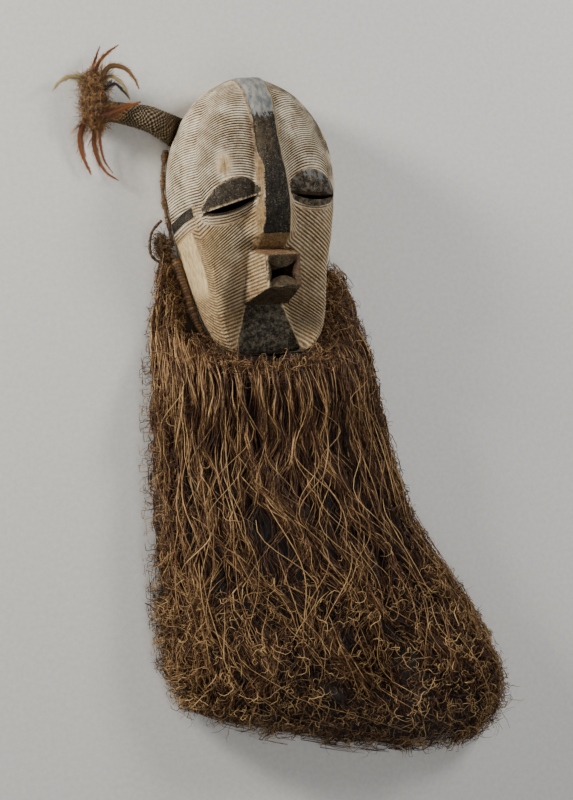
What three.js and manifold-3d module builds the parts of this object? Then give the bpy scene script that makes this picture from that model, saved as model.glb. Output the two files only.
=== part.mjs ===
// A kifwebe mask that lies on its back: a hollow carved wooden face, a netted tube that ends in a tuft of
// feathers, cords along the rim, and a beard of raffia that spreads from the chin.
// Millimetres. +X is to the viewer's right, +Y points to the crown and +Z comes out of the face.

import * as THREE from 'three';
import { mergeVertices } from 'three/addons/utils/BufferGeometryUtils.js';
import Module from 'manifold-3d';

const GAP = 0.4;

// The carved face: a deep egg, widest at the eyes, boxy at the cheeks, cut flat at the back.
const CROWN_Y = 176.5;
const CHIN_Y = -177;
const WIDEST_Y = 32;
const RIM_HALF_WIDTH = 102;
const BROW_Y = 45;
const BROW_HEIGHT = 109;
const CHIN_DROP = 0.18;
const CROWN_TUCK = { depth: 6, height: 55 };
const WALL_SCALE = [0.873, 0.927, 0.86];
const RIM_CHAMFER = { width: 5, height: 7 };
const RIDGE_FRACTION = 0.93;
const HOLLOW_DEPTH = 26.5;
const CHIN_PANEL = { topY: -112, topHalf: 26, bottomY: -172, bottomHalf: 44 };

// The crest runs down the middle into the nose.
const CREST = { halfAtBrow: 11.8, halfAtNose: 17, halfAtCrown: 14, riseAtCrown: 5, riseAtNose: 23 };
const NOSE_TIP_Y = -31.5;
const NOSE_BASE_Y = -46;
const NOSE_UNDER_SLOPE = 1.75;
const CREST_SIDE_SLOPE = { above: 1.9, atNose: 1.2 };

// The mouth is a square block, pierced by a hole with four points.
const MOUTH = { x: 2.5, y: -79.5, halfWidth: 21.5, halfHeight: 19.5, front: 115 };
const MOUTH_HOLE = { halfWidth: 18, halfHeight: 13.2, pinchX: 14.5, pinchY: 5 };

// The eyes: half-closed lids over a narrow slit, the left one cut more steeply than the right.
const EYES = [
  { side: -1, inner: [18, 16], outer: [87, -2.5], upper: 33, lower: 17.5 },
  { side: 1, inner: [22, 18.5], outer: [90, 13], upper: 31, lower: 15.5 },
];
const LID = { upperBulge: 9, lowerBulge: 4, slit: 8 };

// The raffia beard: two edges that leave the temples, and a hem of rolls.
const BEARD = { topY: -32, hemY: -690, hemStartY: -536, locks: 9, lockDepth: 4 };
const ROLLS = [
  { x: -50, y: -575, rise: 16, reach: 62 },
  { x: 212, y: -585, rise: 20, reach: 66 },
  { x: 150, y: -650, rise: 12, reach: 45 },
  { x: 95, y: -585, rise: -16, reach: 38 },
];

const ROPE = { radius: 6.5, floor: 7.4, topY: -46 };
const RIM_CORD = { radius: 1.8, z: 3, fromY: 92, toY: -29, knots: [84, 25] };
const BARK_LOOP = {
  radius: 1.5,
  points: [[-112, 3, 7], [-121, -4, 10], [-128, -12, 12], [-132, -25, 13], [-132, -38, 12], [-127, -45, 10],
    [-120, -49, 8]],
};
const FIBRE_WAD = { size: [6, 11, 6], turn: -0.25, at: [-119.5, -22, 8.5] };
const TUBE = { tuftRadius: 12.5, rimHalfWidth: 20, rimHalfHeight: 2.2 };
const TUFT = { x: -188, bottomY: 118, topY: 191, radius: 17 };

const material = (name, color, roughness) =>
  new THREE.MeshStandardMaterial({ name, color, roughness, metalness: 0 });
const WOOD = material('carved_wood', 0xc9bba2, 0.85);
const RAFFIA = material('raffia', 0x8a6238, 0.9);
const BARK = material('bark_cord', 0x6b4a2c, 0.9);
const NETTING = material('netting', 0x9a8462, 0.95);
const DOWN = material('down', 0xa58a60, 0.95);
const FEATHER = material('feather', 0xa2451c, 0.6);

const clamp = (value, low, high) => Math.min(Math.max(value, low), high);
const mix = (a, b, t) => a + (b - a) * t;
const ease = (t) => {
  const c = clamp(t, 0, 1);
  return c * c * (3 - 2 * c);
};
const bump = (value, centre, reach) => Math.exp(-(((value - centre) / reach) ** 2));
const arc = (t, power) => (1 - Math.min(Math.abs(t), 1) ** power) ** (1 / power);

// Closed solids from rows of points

function indexed(points, index) {
  const geometry = new THREE.BufferGeometry();
  geometry.setAttribute('position', new THREE.Float32BufferAttribute(points.flat(), 3));
  geometry.setIndex(index);
  return geometry;
}

// Rings of points, each counter-clockwise seen from the end of the row, joined and capped at both ends.
function loft(rings) {
  const size = rings[0].length;
  const points = rings.flat();
  const index = [];
  for (let r = 0; r + 1 < rings.length; r += 1) {
    for (let k = 0; k < size; k += 1) {
      const a = r * size + k;
      const b = r * size + ((k + 1) % size);
      index.push(a, b, b + size, a, b + size, a + size);
    }
  }
  for (const end of [0, rings.length - 1]) {
    const ring = rings[end];
    const centre = [0, 1, 2].map((axis) => ring.reduce((sum, p) => sum + p[axis], 0) / size);
    const hub = points.push(centre) - 1;
    for (let k = 0; k < size; k += 1) {
      const a = end * size + k;
      const b = end * size + ((k + 1) % size);
      index.push(...(end ? [a, b, hub] : [b, a, hub]));
    }
  }
  return indexed(points, index);
}

// A slab between two height functions over a patch: plan(u, v) gives [x, y], for u and v from 0 to 1.
function slab(columns, rows, plan, top, bottom) {
  const points = [];
  for (const height of [top, bottom]) {
    for (let j = 0; j <= rows; j += 1) {
      for (let i = 0; i <= columns; i += 1) {
        const [x, y] = plan(i / columns, j / rows);
        points.push([x, y, height(x, y, i / columns, j / rows)]);
      }
    }
  }
  const width = columns + 1;
  const under = width * (rows + 1);
  const index = [];
  const quad = (a, b, c, d) => index.push(a, b, c, a, c, d);
  for (let j = 0; j < rows; j += 1) {
    for (let i = 0; i < columns; i += 1) {
      const a = j * width + i;
      quad(a, a + 1, a + 1 + width, a + width);
      quad(under + a, under + a + width, under + a + 1 + width, under + a + 1);
    }
  }
  for (let i = 0; i < columns; i += 1) {
    const far = rows * width + i;
    quad(i, under + i, under + i + 1, i + 1);
    quad(far, far + 1, under + far + 1, under + far);
  }
  for (let j = 0; j < rows; j += 1) {
    const a = j * width;
    const b = a + columns;
    quad(a, a + width, under + a + width, under + a);
    quad(b, under + b, under + b + width, b + width);
  }
  return indexed(points, index);
}

function mirrored(geometry) {
  const copy = geometry.clone().scale(-1, 1, 1);
  const index = copy.getIndex();
  for (let i = 0; i < index.count; i += 3) {
    const second = index.getX(i + 1);
    index.setX(i + 1, index.getX(i + 2));
    index.setX(i + 2, second);
  }
  return copy;
}

// Joining and cutting

const wasm = await Module();
wasm.setup();

function solid(geometry) {
  const bare = geometry.clone();
  bare.deleteAttribute('normal');
  bare.deleteAttribute('uv');
  const merged = mergeVertices(bare, 1e-4);
  return new wasm.Manifold(
    new wasm.Mesh({
      numProp: 3,
      vertProperties: new Float32Array(merged.getAttribute('position').array),
      triVerts: new Uint32Array(merged.getIndex().array),
    }),
  );
}

function surface(manifold) {
  const mesh = manifold.getMesh();
  const geometry = new THREE.BufferGeometry();
  geometry.setAttribute('position', new THREE.Float32BufferAttribute(mesh.vertProperties, 3));
  geometry.setIndex(Array.from(mesh.triVerts));
  geometry.computeVertexNormals();
  return geometry;
}

// The face's outline, height and squareness along its length

function rimHalfWidth(y) {
  if (y > WIDEST_Y) {
    return RIM_HALF_WIDTH * arc((y - WIDEST_Y) / (CROWN_Y - WIDEST_Y), 1.85);
  }
  const q = (WIDEST_Y - y) / (WIDEST_Y - CHIN_Y);
  return RIM_HALF_WIDTH * (1 - 0.14 * q) * arc(q, 2.5);
}

// The side walls lean out over the rim at the forehead and the jaw, and stand straight at the cheek.
function widest(y) {
  if (y > WIDEST_Y) {
    return rimHalfWidth(y) + mix(3, 9, ease((y - WIDEST_Y) / 58)) * ease((CROWN_Y - y) / 38);
  }
  const q = (WIDEST_Y - y) / (WIDEST_Y - CHIN_Y);
  return (RIM_HALF_WIDTH + 3) * (1 - 0.3 * q) * arc(q, 6) - 6 * bump(y, -80, 45);
}

function faceHeight(y) {
  if (y > BROW_Y) {
    return BROW_HEIGHT * arc((y - BROW_Y) / (CROWN_Y - BROW_Y), 3.1);
  }
  const q = (WIDEST_Y - y) / (WIDEST_Y - CHIN_Y);
  return (BROW_HEIGHT - CHIN_DROP * (BROW_Y - y)) * arc(Math.max(q, 0), 14);
}

function squareness(y) {
  if (y > 30) {
    return 3.9 - 1.1 * ((y - 30) / (CROWN_Y - 30)) ** 0.8;
  }
  return 3.9 + 4.1 * ((30 - y) / 176) ** 1.3;
}

function panelHalf(y) {
  const { topY, topHalf, bottomY, bottomHalf } = CHIN_PANEL;
  const flare = mix(topHalf, bottomHalf, clamp((topY - y) / (topY - bottomY), 0, 1.1));
  return Math.min(flare, (0.42 + 0.36 * ease((topY + 20 - y) / 60)) * widest(y));
}

// Height of the plain carved surface over a point of the plan: a boxy dome whose lower middle is hollowed.
function baseHeight(x, y) {
  const width = widest(y);
  const dome = faceHeight(y) * arc(x / width, squareness(y));
  const inner = panelHalf(y);
  const across = clamp((Math.abs(x) - inner) / (0.88 * width - inner), 0, 1);
  const depth = HOLLOW_DEPTH * ease((10 - y) / 140) * arc((WIDEST_Y - Math.min(y, WIDEST_Y)) / 209, 14);
  return dome - depth * (1 - across);
}

// How far the side wall stands from the middle at a height.
function wallX(y, z) {
  const level = clamp(z / faceHeight(y), 0, 1);
  const width = widest(y);
  return width * arc(level, squareness(y)) + (rimHalfWidth(y) - width) * (1 - level) ** 3;
}

// One cross-section, from the left rim over the front to the right rim, no higher than its ceiling.
function faceRing(y, frontSteps, wallSteps, ceiling) {
  const width = widest(y);
  const inner = panelHalf(y);
  const edge = RIDGE_FRACTION * width;
  const half = [];
  for (let i = 0; i <= frontSteps; i += 1) {
    const s = i / frontSteps;
    const x = s < 0.3 ? (inner * s) / 0.3 : mix(inner, edge, (s - 0.3) / 0.7);
    half.push([x, Math.min(baseHeight(x, y), ceiling(y))]);
  }
  const ridgeHeight = half[frontSteps][1];
  const foot = Math.min(RIM_CHAMFER.height, 0.2 * ridgeHeight);
  for (let i = 1; i <= wallSteps; i += 1) {
    const z = mix(ridgeHeight, foot, i / wallSteps);
    half.push([wallX(y, z), z]);
  }
  const rim = half[half.length - 1][0];
  half.push([rim - Math.min(RIM_CHAMFER.width, 0.3 * rim), 0]);
  const tuck = CROWN_TUCK.depth * ease((y - 60) / 110);
  const tucked = (z) => y - tuck * (1 - clamp(z / CROWN_TUCK.height, 0, 1)) ** 2;
  const right = half.map(([x, z]) => [x, tucked(z), z]);
  const left = half.slice(1).reverse().map(([x, z]) => [-x, tucked(z), z]);
  return [...left, ...right];
}

function faceDome(rows, frontSteps, wallSteps, ceiling = () => BROW_HEIGHT) {
  const rings = [];
  for (let j = 0; j <= rows; j += 1) {
    const t = mix(0.012, 0.994, j / rows);
    const eased = 0.5 - 0.5 * Math.cos(Math.PI * t);
    const y = mix(CHIN_Y, CROWN_Y, mix(t, eased, 0.62));
    rings.push(faceRing(y, frontSteps, wallSteps, ceiling));
  }
  return loft(rings);
}

// The crest and the nose

function crestHalf(y) {
  if (y > 90) {
    const grown = mix(CREST.halfAtBrow, CREST.halfAtCrown, clamp((y - 90) / 51, 0, 1) ** 2);
    return Math.min(grown, 0.55 * widest(y));
  }
  return mix(CREST.halfAtBrow, CREST.halfAtNose, ease((90 - y) / 105));
}

function crestTop(y) {
  const tip = Math.max(y, NOSE_TIP_Y);
  const rise = mix(CREST.riseAtCrown, CREST.riseAtNose, ease((150 - tip) / 165) ** 1.6);
  const under = NOSE_UNDER_SLOPE * Math.max(NOSE_TIP_Y - y, 0);
  return baseHeight(0, tip) + rise - under;
}

function crestSideSlope(y) {
  return mix(CREST_SIDE_SLOPE.above, CREST_SIDE_SLOPE.atNose, ease((45 - y) / 80));
}

function crestHeight(x, y) {
  const side = Math.max(Math.abs(x) - crestHalf(y), 0);
  const crown = 1.6 * Math.min(Math.abs(x) / crestHalf(y), 1) ** 2;
  return crestTop(y) - crown - crestSideSlope(y) * side;
}

function crest() {
  const rows = 30;
  const rings = [];
  for (let j = 0; j <= rows; j += 1) {
    const y = mix(NOSE_BASE_Y - 4, CROWN_Y - 4, j / rows);
    const half = crestHalf(y);
    const sunk = baseHeight(0, y) - 5;
    const run = Math.max(crestTop(y) - 1.6 - sunk, 0.5) / crestSideSlope(y);
    const low = Math.min(sunk, crestTop(y) - 3);
    rings.push([
      [-half - run, y, low],
      [-half, y, crestHeight(half, y)],
      [0, y, crestTop(y)],
      [half, y, crestHeight(half, y)],
      [half + run, y, low],
    ]);
  }
  return loft(rings);
}

// The eyes: p runs from the inner corner to the outer one, along the slit

function eyeLine(eye, p) {
  return [mix(eye.inner[0], eye.outer[0], p), mix(eye.inner[1], eye.outer[1], p)];
}

function lidOpening(p) {
  return Math.max(Math.sin(Math.PI * p), 0.001) ** 0.45;
}

function upperLid(eye) {
  const plan = (u, v) => {
    const p = mix(0.012, 0.985, u);
    const [x, y] = eyeLine(eye, p);
    return [x, y + v * eye.upper * lidOpening(p)];
  };
  const top = (x, y, u, v) => {
    const swell = Math.sin(Math.PI * mix(0.04, 0.95, u)) ** 0.5 * Math.sqrt(1 - 0.98 * v * v);
    return baseHeight(x, y) + LID.upperBulge * swell - 0.5;
  };
  return slab(9, 4, plan, top, (x, y) => baseHeight(x, y) - 5);
}

function lowerLid(eye) {
  const plan = (u, v) => {
    const p = mix(0.02, 0.98, u);
    const [x, y] = eyeLine(eye, p);
    return [x, y - 0.5 - (1 - v) * eye.lower * lidOpening(p)];
  };
  const top = (x, y, u, v) => {
    return baseHeight(x, y) + LID.lowerBulge * v * Math.sin(Math.PI * mix(0.04, 0.96, u)) ** 0.5 - 0.4;
  };
  return slab(9, 2, plan, top, (x, y) => baseHeight(x, y) - 5);
}

function eyeSlit(eye) {
  const plan = (u, v) => {
    const p = mix(0.05, 0.93, u);
    const [x, y] = eyeLine(eye, p);
    return [x, y + 0.5 - (1 - v) * LID.slit * Math.max(Math.sin(Math.PI * u) ** 0.6, 0.1)];
  };
  return slab(9, 1, plan, () => 140, () => 20);
}

const onSide = (eye, geometry) => (eye.side < 0 ? mirrored(geometry) : geometry);

// The mouth block and its pierced hole

function mouthBlock() {
  const { x, y, halfWidth, halfHeight, front } = MOUTH;
  const levels = [
    { z: front - 52, left: 14, right: 6, above: 9, below: 13.5 },
    { z: front - 28, left: 8, right: 4, above: 8, below: 7 },
    { z: front, left: 0, right: 0, above: 0, below: 0 },
  ];
  return loft(levels.map(({ z, left, right, above, below }) => [
    [x - halfWidth - left, y - halfHeight - 0.8 * below, z],
    [x, y - halfHeight - below - 1.5, z],
    [x + halfWidth + right - 0.33 * below, y - halfHeight - 0.7 * below, z],
    [x + halfWidth + right + 0.4 * above, y + halfHeight + above, z],
    [x, y + halfHeight + above + 1, z],
    [x - halfWidth - 0.8 * left, y + halfHeight + above, z],
  ]));
}

function mouthHole() {
  const { halfWidth, halfHeight, pinchX, pinchY } = MOUTH_HOLE;
  const pullX = 2 * pinchX - halfWidth;
  const pullY = 2 * pinchY - halfHeight;
  const outline = new THREE.Shape();
  outline.moveTo(-halfWidth, -halfHeight);
  outline.quadraticCurveTo(0, -pullY, halfWidth, -halfHeight);
  outline.quadraticCurveTo(pullX, 0, halfWidth, halfHeight);
  outline.quadraticCurveTo(0, pullY, -halfWidth, halfHeight);
  outline.quadraticCurveTo(-pullX, 0, -halfWidth, -halfHeight);
  const hole = new THREE.ExtrudeGeometry(outline, { depth: 110, bevelEnabled: false, curveSegments: 4 });
  return hole.translate(MOUTH.x, MOUTH.y, 15);
}

function woodenFace() {
  const dome = faceDome(34, 9, 4);
  const hollow = faceDome(18, 5, 3, (y) => baseHeight(0, y)).scale(...WALL_SCALE).translate(0, 0, -1);
  const lids = EYES.flatMap((eye) => [onSide(eye, upperLid(eye)), onSide(eye, lowerLid(eye))]);
  const cuts = [hollow, mouthHole(), ...EYES.map((eye) => onSide(eye, eyeSlit(eye)))];
  const forms = [crest(), mouthBlock(), ...lids];
  const carved = forms.reduce((wood, form) => wood.add(solid(form)), solid(dome));
  return surface(cuts.reduce((wood, cut) => wood.subtract(solid(cut)), carved));
}

// A tall prism over an outline that is given by its right half.
function uprightPrism(outline) {
  const left = outline.map((p) => new THREE.Vector2(-p.x, p.y)).reverse();
  const shape = new THREE.Shape([...outline, ...left]);
  return new THREE.ExtrudeGeometry(shape, { depth: 150, bevelEnabled: false });
}

// The face filled, grown a little and open upwards, to cut room for it in what lies against it.
function faceRoom() {
  const grow = 1 + (2 * GAP) / RIM_HALF_WIDTH;
  const outline = [];
  const steps = 56;
  for (let j = 0; j <= steps; j += 1) {
    const y = mix(CHIN_Y, CROWN_Y, 0.5 - 0.5 * Math.cos(Math.PI * mix(0.01, 0.99, j / steps)));
    outline.push(new THREE.Vector2(widest(y) + GAP, y));
  }
  const above = uprightPrism(outline);
  const dome = faceDome(34, 9, 4).scale(1, 1, 1.02).translate(0, 0, -1);
  return solid(dome.scale(grow, grow, 1)).add(solid(above.scale(grow, grow, 1).translate(0, 0, 34)));
}

// The strip beside the rim where the collar rope lies open to view, down to the jaw.
function ropeStrip() {
  const outline = [];
  for (let j = 0; j <= 8; j += 1) {
    const y = mix(-132, BEARD.topY + 10, j / 8);
    outline.push(new THREE.Vector2(wallX(y, 14) + 15 * ease((y + 132) / 34), y));
  }
  return uprightPrism(outline);
}

// Cords that follow the rim

function rimPoint(y, side, offset, z) {
  return new THREE.Vector3(side * (wallX(y, z + 7) + offset), y, z);
}

function ropePath() {
  const { radius, floor, topY } = ROPE;
  const heights = [topY, -70, -95, -120, -142, -160];
  const left = heights.map((y) => rimPoint(y, -1, radius + 1.4, floor));
  const right = heights.map((y) => rimPoint(y, 1, radius + 1.4, floor)).reverse();
  const under = [-36, 0, 36].map((x) => new THREE.Vector3(x, CHIN_Y - radius - 3.5 + 0.004 * x * x, floor));
  return new THREE.CatmullRomCurve3([...left, ...under, ...right], false, 'centripetal');
}

function roundSection(radius, sides) {
  const shape = new THREE.Shape();
  for (let k = 0; k < sides; k += 1) {
    const angle = (2 * Math.PI * k) / sides;
    const method = k ? 'lineTo' : 'moveTo';
    shape[method](radius * Math.cos(angle), radius * Math.sin(angle));
  }
  shape.closePath();
  return shape;
}

function tubeAlong(path, radius, sides, steps) {
  return new THREE.ExtrudeGeometry(roundSection(radius, sides), { extrudePath: path, steps });
}

function rimCord() {
  const { radius, z, fromY, toY, knots } = RIM_CORD;
  const points = [];
  for (let k = 0; k <= 8; k += 1) {
    points.push(rimPoint(mix(fromY, toY, k / 8), -1, radius + 1, z));
  }
  let cord = solid(tubeAlong(new THREE.CatmullRomCurve3(points), radius, 5, 12));
  for (const y of knots) {
    const knot = new THREE.SphereGeometry(4, 6, 4).scale(0.9, 1.6, 0.7);
    const at = rimPoint(y, -1, 4.4, z + 0.2);
    cord = cord.add(solid(knot.translate(at.x, at.y, at.z)));
  }
  return cord;
}

function barkLoop(radius) {
  const points = BARK_LOOP.points.map(([x, y, z]) => new THREE.Vector3(x, y, z));
  return tubeAlong(new THREE.CatmullRomCurve3(points), radius, 5, 14);
}

function fibreWad(grow) {
  const { size, turn, at } = FIBRE_WAD;
  const wad = new THREE.SphereGeometry(1, 9, 7).scale(size[0] + grow, size[1] + grow, size[2] + grow);
  return wad.rotateZ(turn).translate(...at);
}

// The netted tube: round at the tuft, flattened where it slips under the rim.
function nettedTube() {
  const path = new THREE.CatmullRomCurve3([
    new THREE.Vector3(-74, 112, 2.7), new THREE.Vector3(-84, 115.5, 4), new THREE.Vector3(-99, 121, 12),
    new THREE.Vector3(-118, 129, 16.6), new THREE.Vector3(-135, 134, 15.4),
    new THREE.Vector3(-152, 138, 13.7), new THREE.Vector3(-180, 143, 13),
  ]);
  const rings = [];
  const steps = 14;
  for (let j = 0; j <= steps; j += 1) {
    const t = j / steps;
    const at = path.getPointAt(t);
    const along = path.getTangentAt(t);
    const across = new THREE.Vector3(along.y, -along.x, 0).normalize();
    const opened = ease((t - 0.04) / 0.36);
    const round = mix(16.4, TUBE.tuftRadius, ease((t - 0.3) / 0.6));
    const halfWidth = mix(TUBE.rimHalfWidth, round, opened);
    const halfHeight = Math.min(mix(TUBE.rimHalfHeight, round, opened), at.z - 0.2);
    const ring = [];
    for (let k = 0; k < 12; k += 1) {
      const angle = (2 * Math.PI * k) / 12;
      const side = across.clone().multiplyScalar(-halfWidth * Math.cos(angle));
      ring.push([at.x + side.x, at.y + side.y, at.z + halfHeight * Math.sin(angle)]);
    }
    rings.push(ring);
  }
  return solid(loft(rings)).subtract(faceRoom()).subtract(tuftBody(1 + GAP / 8));
}

// The tuft of down: a lumpy upright bundle.
function tuftBody(grow) {
  const rings = [];
  const steps = 12;
  for (let j = 0; j <= steps; j += 1) {
    const t = j / steps;
    const middle = mix(TUFT.bottomY, TUFT.topY, 0.5);
    const y = middle + (mix(TUFT.bottomY, TUFT.topY, t) - middle) * grow;
    const swell = TUFT.radius * grow * (0.28 + 0.72 * Math.sin(Math.PI * mix(0.04, 0.96, t)) ** 0.7);
    const ring = [];
    for (let k = 0; k < 12; k += 1) {
      const angle = (2 * Math.PI * k) / 12;
      const lump = 1 + 0.07 * Math.sin(3 * angle + 9 * t) * Math.sin(Math.PI * t);
      const z = TUFT.radius + 0.4 + swell * lump * Math.sin(angle);
      ring.push([TUFT.x - swell * lump * Math.cos(angle) * 0.95, y, Math.max(z, 0.2)]);
    }
    rings.push(ring);
  }
  return solid(loft(rings));
}

// One feather: a thin blade along a curve, widest past its middle, with a raised shaft.
function feather(points, width) {
  const path = new THREE.CatmullRomCurve3(points.map(([x, y, z]) => new THREE.Vector3(x, y, z)));
  const steps = 9;
  const rings = [];
  for (let j = 0; j <= steps; j += 1) {
    const t = j / steps;
    const at = path.getPointAt(t);
    const along = path.getTangentAt(t);
    const across = new THREE.Vector3(-along.y, along.x, 0).normalize();
    const half = width * (0.16 + 0.84 * Math.sin(Math.PI * mix(0.06, 0.97, t ** 0.8)) ** 0.8) * 0.5;
    const up = 0.9 - 0.4 * t;
    const ring = [[1, 0], [0, up], [-1, 0], [0, -up]].map(([side, lift]) => [
      at.x - across.x * half * side,
      at.y - across.y * half * side,
      at.z + lift - 0.4 * Math.abs(side),
    ]);
    rings.push(ring.reverse());
  }
  return solid(loft(rings));
}

const FEATHERS = {
  feather_up_long: {
    width: 6,
    color: 0xa2451c,
    points: [[-190, 176, 22], [-179, 201, 24], [-166, 213, 24], [-152, 222, 22]],
  },
  feather_up_short: {
    width: 5,
    color: 0x6a2418,
    points: [[-194, 176, 18], [-184, 200, 16], [-174, 222, 16]],
  },
  feather_left: {
    width: 7,
    color: 0xc9bc94,
    points: [[-194, 176, 22], [-213, 184, 22], [-229, 179, 20], [-241, 167, 18]],
  },
  feather_right_gold: {
    width: 9,
    color: 0xb07a2c,
    points: [[-184, 176, 30], [-167, 194, 30], [-148, 191, 29], [-137, 178, 28], [-132, 166, 27]],
  },
  feather_right_cream: {
    width: 6,
    color: 0xc9bc94,
    points: [[-182, 170, 26], [-168, 182, 27], [-154, 172, 30], [-149, 158, 32], [-146, 146, 32]],
  },
  feather_right_dark: {
    width: 5,
    color: 0x2a1a10,
    points: [[-178, 164, 30], [-164, 172, 31], [-154, 161, 33], [-148, 152, 35]],
  },
  feather_on_tube: {
    width: 6,
    color: 0xa2451c,
    points: [[-190, 132, 34], [-169, 137, 34], [-150, 143, 33], [-134, 148, 33]],
  },
  feather_down_left: {
    width: 8,
    color: 0xb58a4a,
    points: [[-199, 136, 16], [-209, 112, 14], [-208, 90, 12], [-199, 64, 10]],
  },
  feather_down_long: {
    width: 7,
    color: 0x8a3a1a,
    points: [[-188, 128, 18], [-193, 104, 16], [-189, 82, 14], [-179, 65, 12], [-165, 55, 12]],
  },
  feather_down_inner: {
    width: 5,
    color: 0x9a4a22,
    points: [[-184, 130, 24], [-187, 101, 22], [-183, 79, 20], [-173, 63, 18]],
  },
};

// The raffia beard: a mound with its locks, from the temples round the jaw and down to a hem of rolls.

function beardEdges(y) {
  const down = Math.max(-40 - y, 0);
  const hem = clamp((BEARD.hemStartY - y) / (BEARD.hemStartY - BEARD.hemY), 0, 1);
  const flare = 117 * (Math.max(-200 - y, 0) / 420) ** 1.6 + 30 * ease((-390 - y) / 140);
  const leftCorner = 25 * ease(hem / 0.4) + 310 * (Math.max(hem - 0.4, 0) / 0.6) ** 1.35;
  const rightCorner = 140 * (1 - arc(Math.max(-575 - y, 0) / 115, 2.2));
  const left = -113 - 59 * (1 - Math.exp(-down / 140)) + leftCorner;
  const right = 106 + 45 * (1 - Math.exp(-Math.max(-50 - y, 0) / 60)) + flare - rightCorner;
  return { half: 0.5 * (right - left), middle: 0.5 * (left + right), hem };
}

function beardHeight(p, y, x) {
  const ruff = 58 + 16 * bump(y, -225, 50) + 20 * ease((-230 - y) / 220) + 8 * ease((-30 - y) / 60);
  const { hem } = beardEdges(y);
  const beside = Math.max(Math.abs(x) - widest(Math.max(y, CHIN_Y + 8)), 0);
  const low = mix(mix(9, 24, ease((-95 - y) / 40)), ruff, ease((-138 - y) / 34));
  const mound = mix(low, ruff, ease(beside / 38)) * arc(hem * 0.98, 2.6) * arc(p, 2.7);
  const inside = arc(p, 2) * arc(hem * 0.98, 2);
  const lock = BEARD.lockDepth * Math.cos(2 * Math.PI * (BEARD.locks * p * 0.5 + 0.18 * Math.sin(y / 60)));
  const rolled = ROLLS.reduce((sum, roll) => {
    return sum + roll.rise * Math.exp(-(((x - roll.x) ** 2 + (y - roll.y) ** 2) / roll.reach ** 2));
  }, 0);
  return mound + (lock + rolled) * inside;
}

function raffiaBeard(rooms) {
  const columns = 32;
  const rows = 24;
  const rings = [];
  for (let j = 0; j <= rows; j += 1) {
    const y = mix(BEARD.hemY + 0.5, BEARD.topY, (j / rows) ** 1.3);
    const { half, middle } = beardEdges(y);
    const ring = [];
    for (let i = 0; i <= columns; i += 1) {
      const p = -Math.cos((Math.PI * i) / columns) * 0.75 + 0.25 * mix(-1, 1, i / columns);
      const x = middle + p * half;
      const inner = i > 0 && i < columns;
      ring.push([x, y, inner ? Math.max(beardHeight(p, y, x), 0.5) : 0]);
    }
    rings.push(ring);
  }
  return rooms.reduce((beard, room) => beard.subtract(room), solid(loft(rings)));
}

// The whole mask

const mask = new THREE.Group();

function place(name, geometry, finish) {
  const mesh = new THREE.Mesh(geometry, finish);
  mesh.name = name;
  mask.add(mesh);
}

const tuftRoom = tuftBody(1 + GAP / 8);
const beardRooms = [
  faceRoom(),
  solid(ropeStrip().translate(0, 0, -2)),
  solid(tubeAlong(ropePath(), ROPE.radius + 2 * GAP, 7, 36)),
  solid(barkLoop(BARK_LOOP.radius + 2 * GAP)),
  solid(fibreWad(GAP)),
];

place('wooden_face', woodenFace(), WOOD);
place('netted_tube', surface(nettedTube()), NETTING);
place('feather_tuft', surface(tuftBody(1)), DOWN);
for (const [name, { points, width, color }] of Object.entries(FEATHERS)) {
  const finish = FEATHER.clone();
  finish.color.set(color);
  place(name, surface(feather(points, width).subtract(tuftRoom)), finish);
}
place('rim_cord', surface(rimCord()), BARK);
place('bark_loop', barkLoop(BARK_LOOP.radius), BARK);
place('fibre_wad', fibreWad(0), RAFFIA);
place('collar_rope', tubeAlong(ropePath(), ROPE.radius, 7, 36), BARK);
place('raffia_beard', surface(raffiaBeard(beardRooms)), RAFFIA);

// The origin is the middle of the underside of the whole mask's box.
const box = new THREE.Box3().setFromObject(mask);
mask.position.set(-(box.min.x + box.max.x) / 2, -(box.min.y + box.max.y) / 2, -box.min.z);
mask.updateMatrixWorld(true);

export default mask;
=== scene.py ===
"""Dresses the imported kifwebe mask: the grooved wooden face, its netted tube, feathers, cords and raffia.

Shapes are worked out in millimetres round the middle of the face, with +X to the viewer's right, +Y to the
crown and +Z out of the face, and are moved to the frame's own place when a mesh is made.
"""

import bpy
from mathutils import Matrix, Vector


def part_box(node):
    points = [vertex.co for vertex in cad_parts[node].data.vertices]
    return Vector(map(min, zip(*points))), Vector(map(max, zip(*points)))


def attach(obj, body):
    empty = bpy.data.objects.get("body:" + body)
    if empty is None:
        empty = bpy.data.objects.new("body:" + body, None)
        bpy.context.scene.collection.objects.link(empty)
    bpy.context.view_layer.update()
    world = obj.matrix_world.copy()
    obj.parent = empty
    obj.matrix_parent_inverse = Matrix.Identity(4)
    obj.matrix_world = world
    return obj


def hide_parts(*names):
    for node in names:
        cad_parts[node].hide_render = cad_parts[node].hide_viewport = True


bl_info = {
    "name": "Kifwebe mask",
    "version": (1, 0, 0),
    "blender": (4, 5, 0),
    "location": "3D View > Sidebar > Mask",
    "description": "Carved and grooved face, netted tube, feathers, cords and raffia over the packed model",
    "category": "Add Mesh",
}

import math
from functools import partial

import bpy
import numpy as np
from bpy.props import FloatProperty, FloatVectorProperty, IntProperty, PointerProperty
from mathutils import Matrix, Vector

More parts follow.
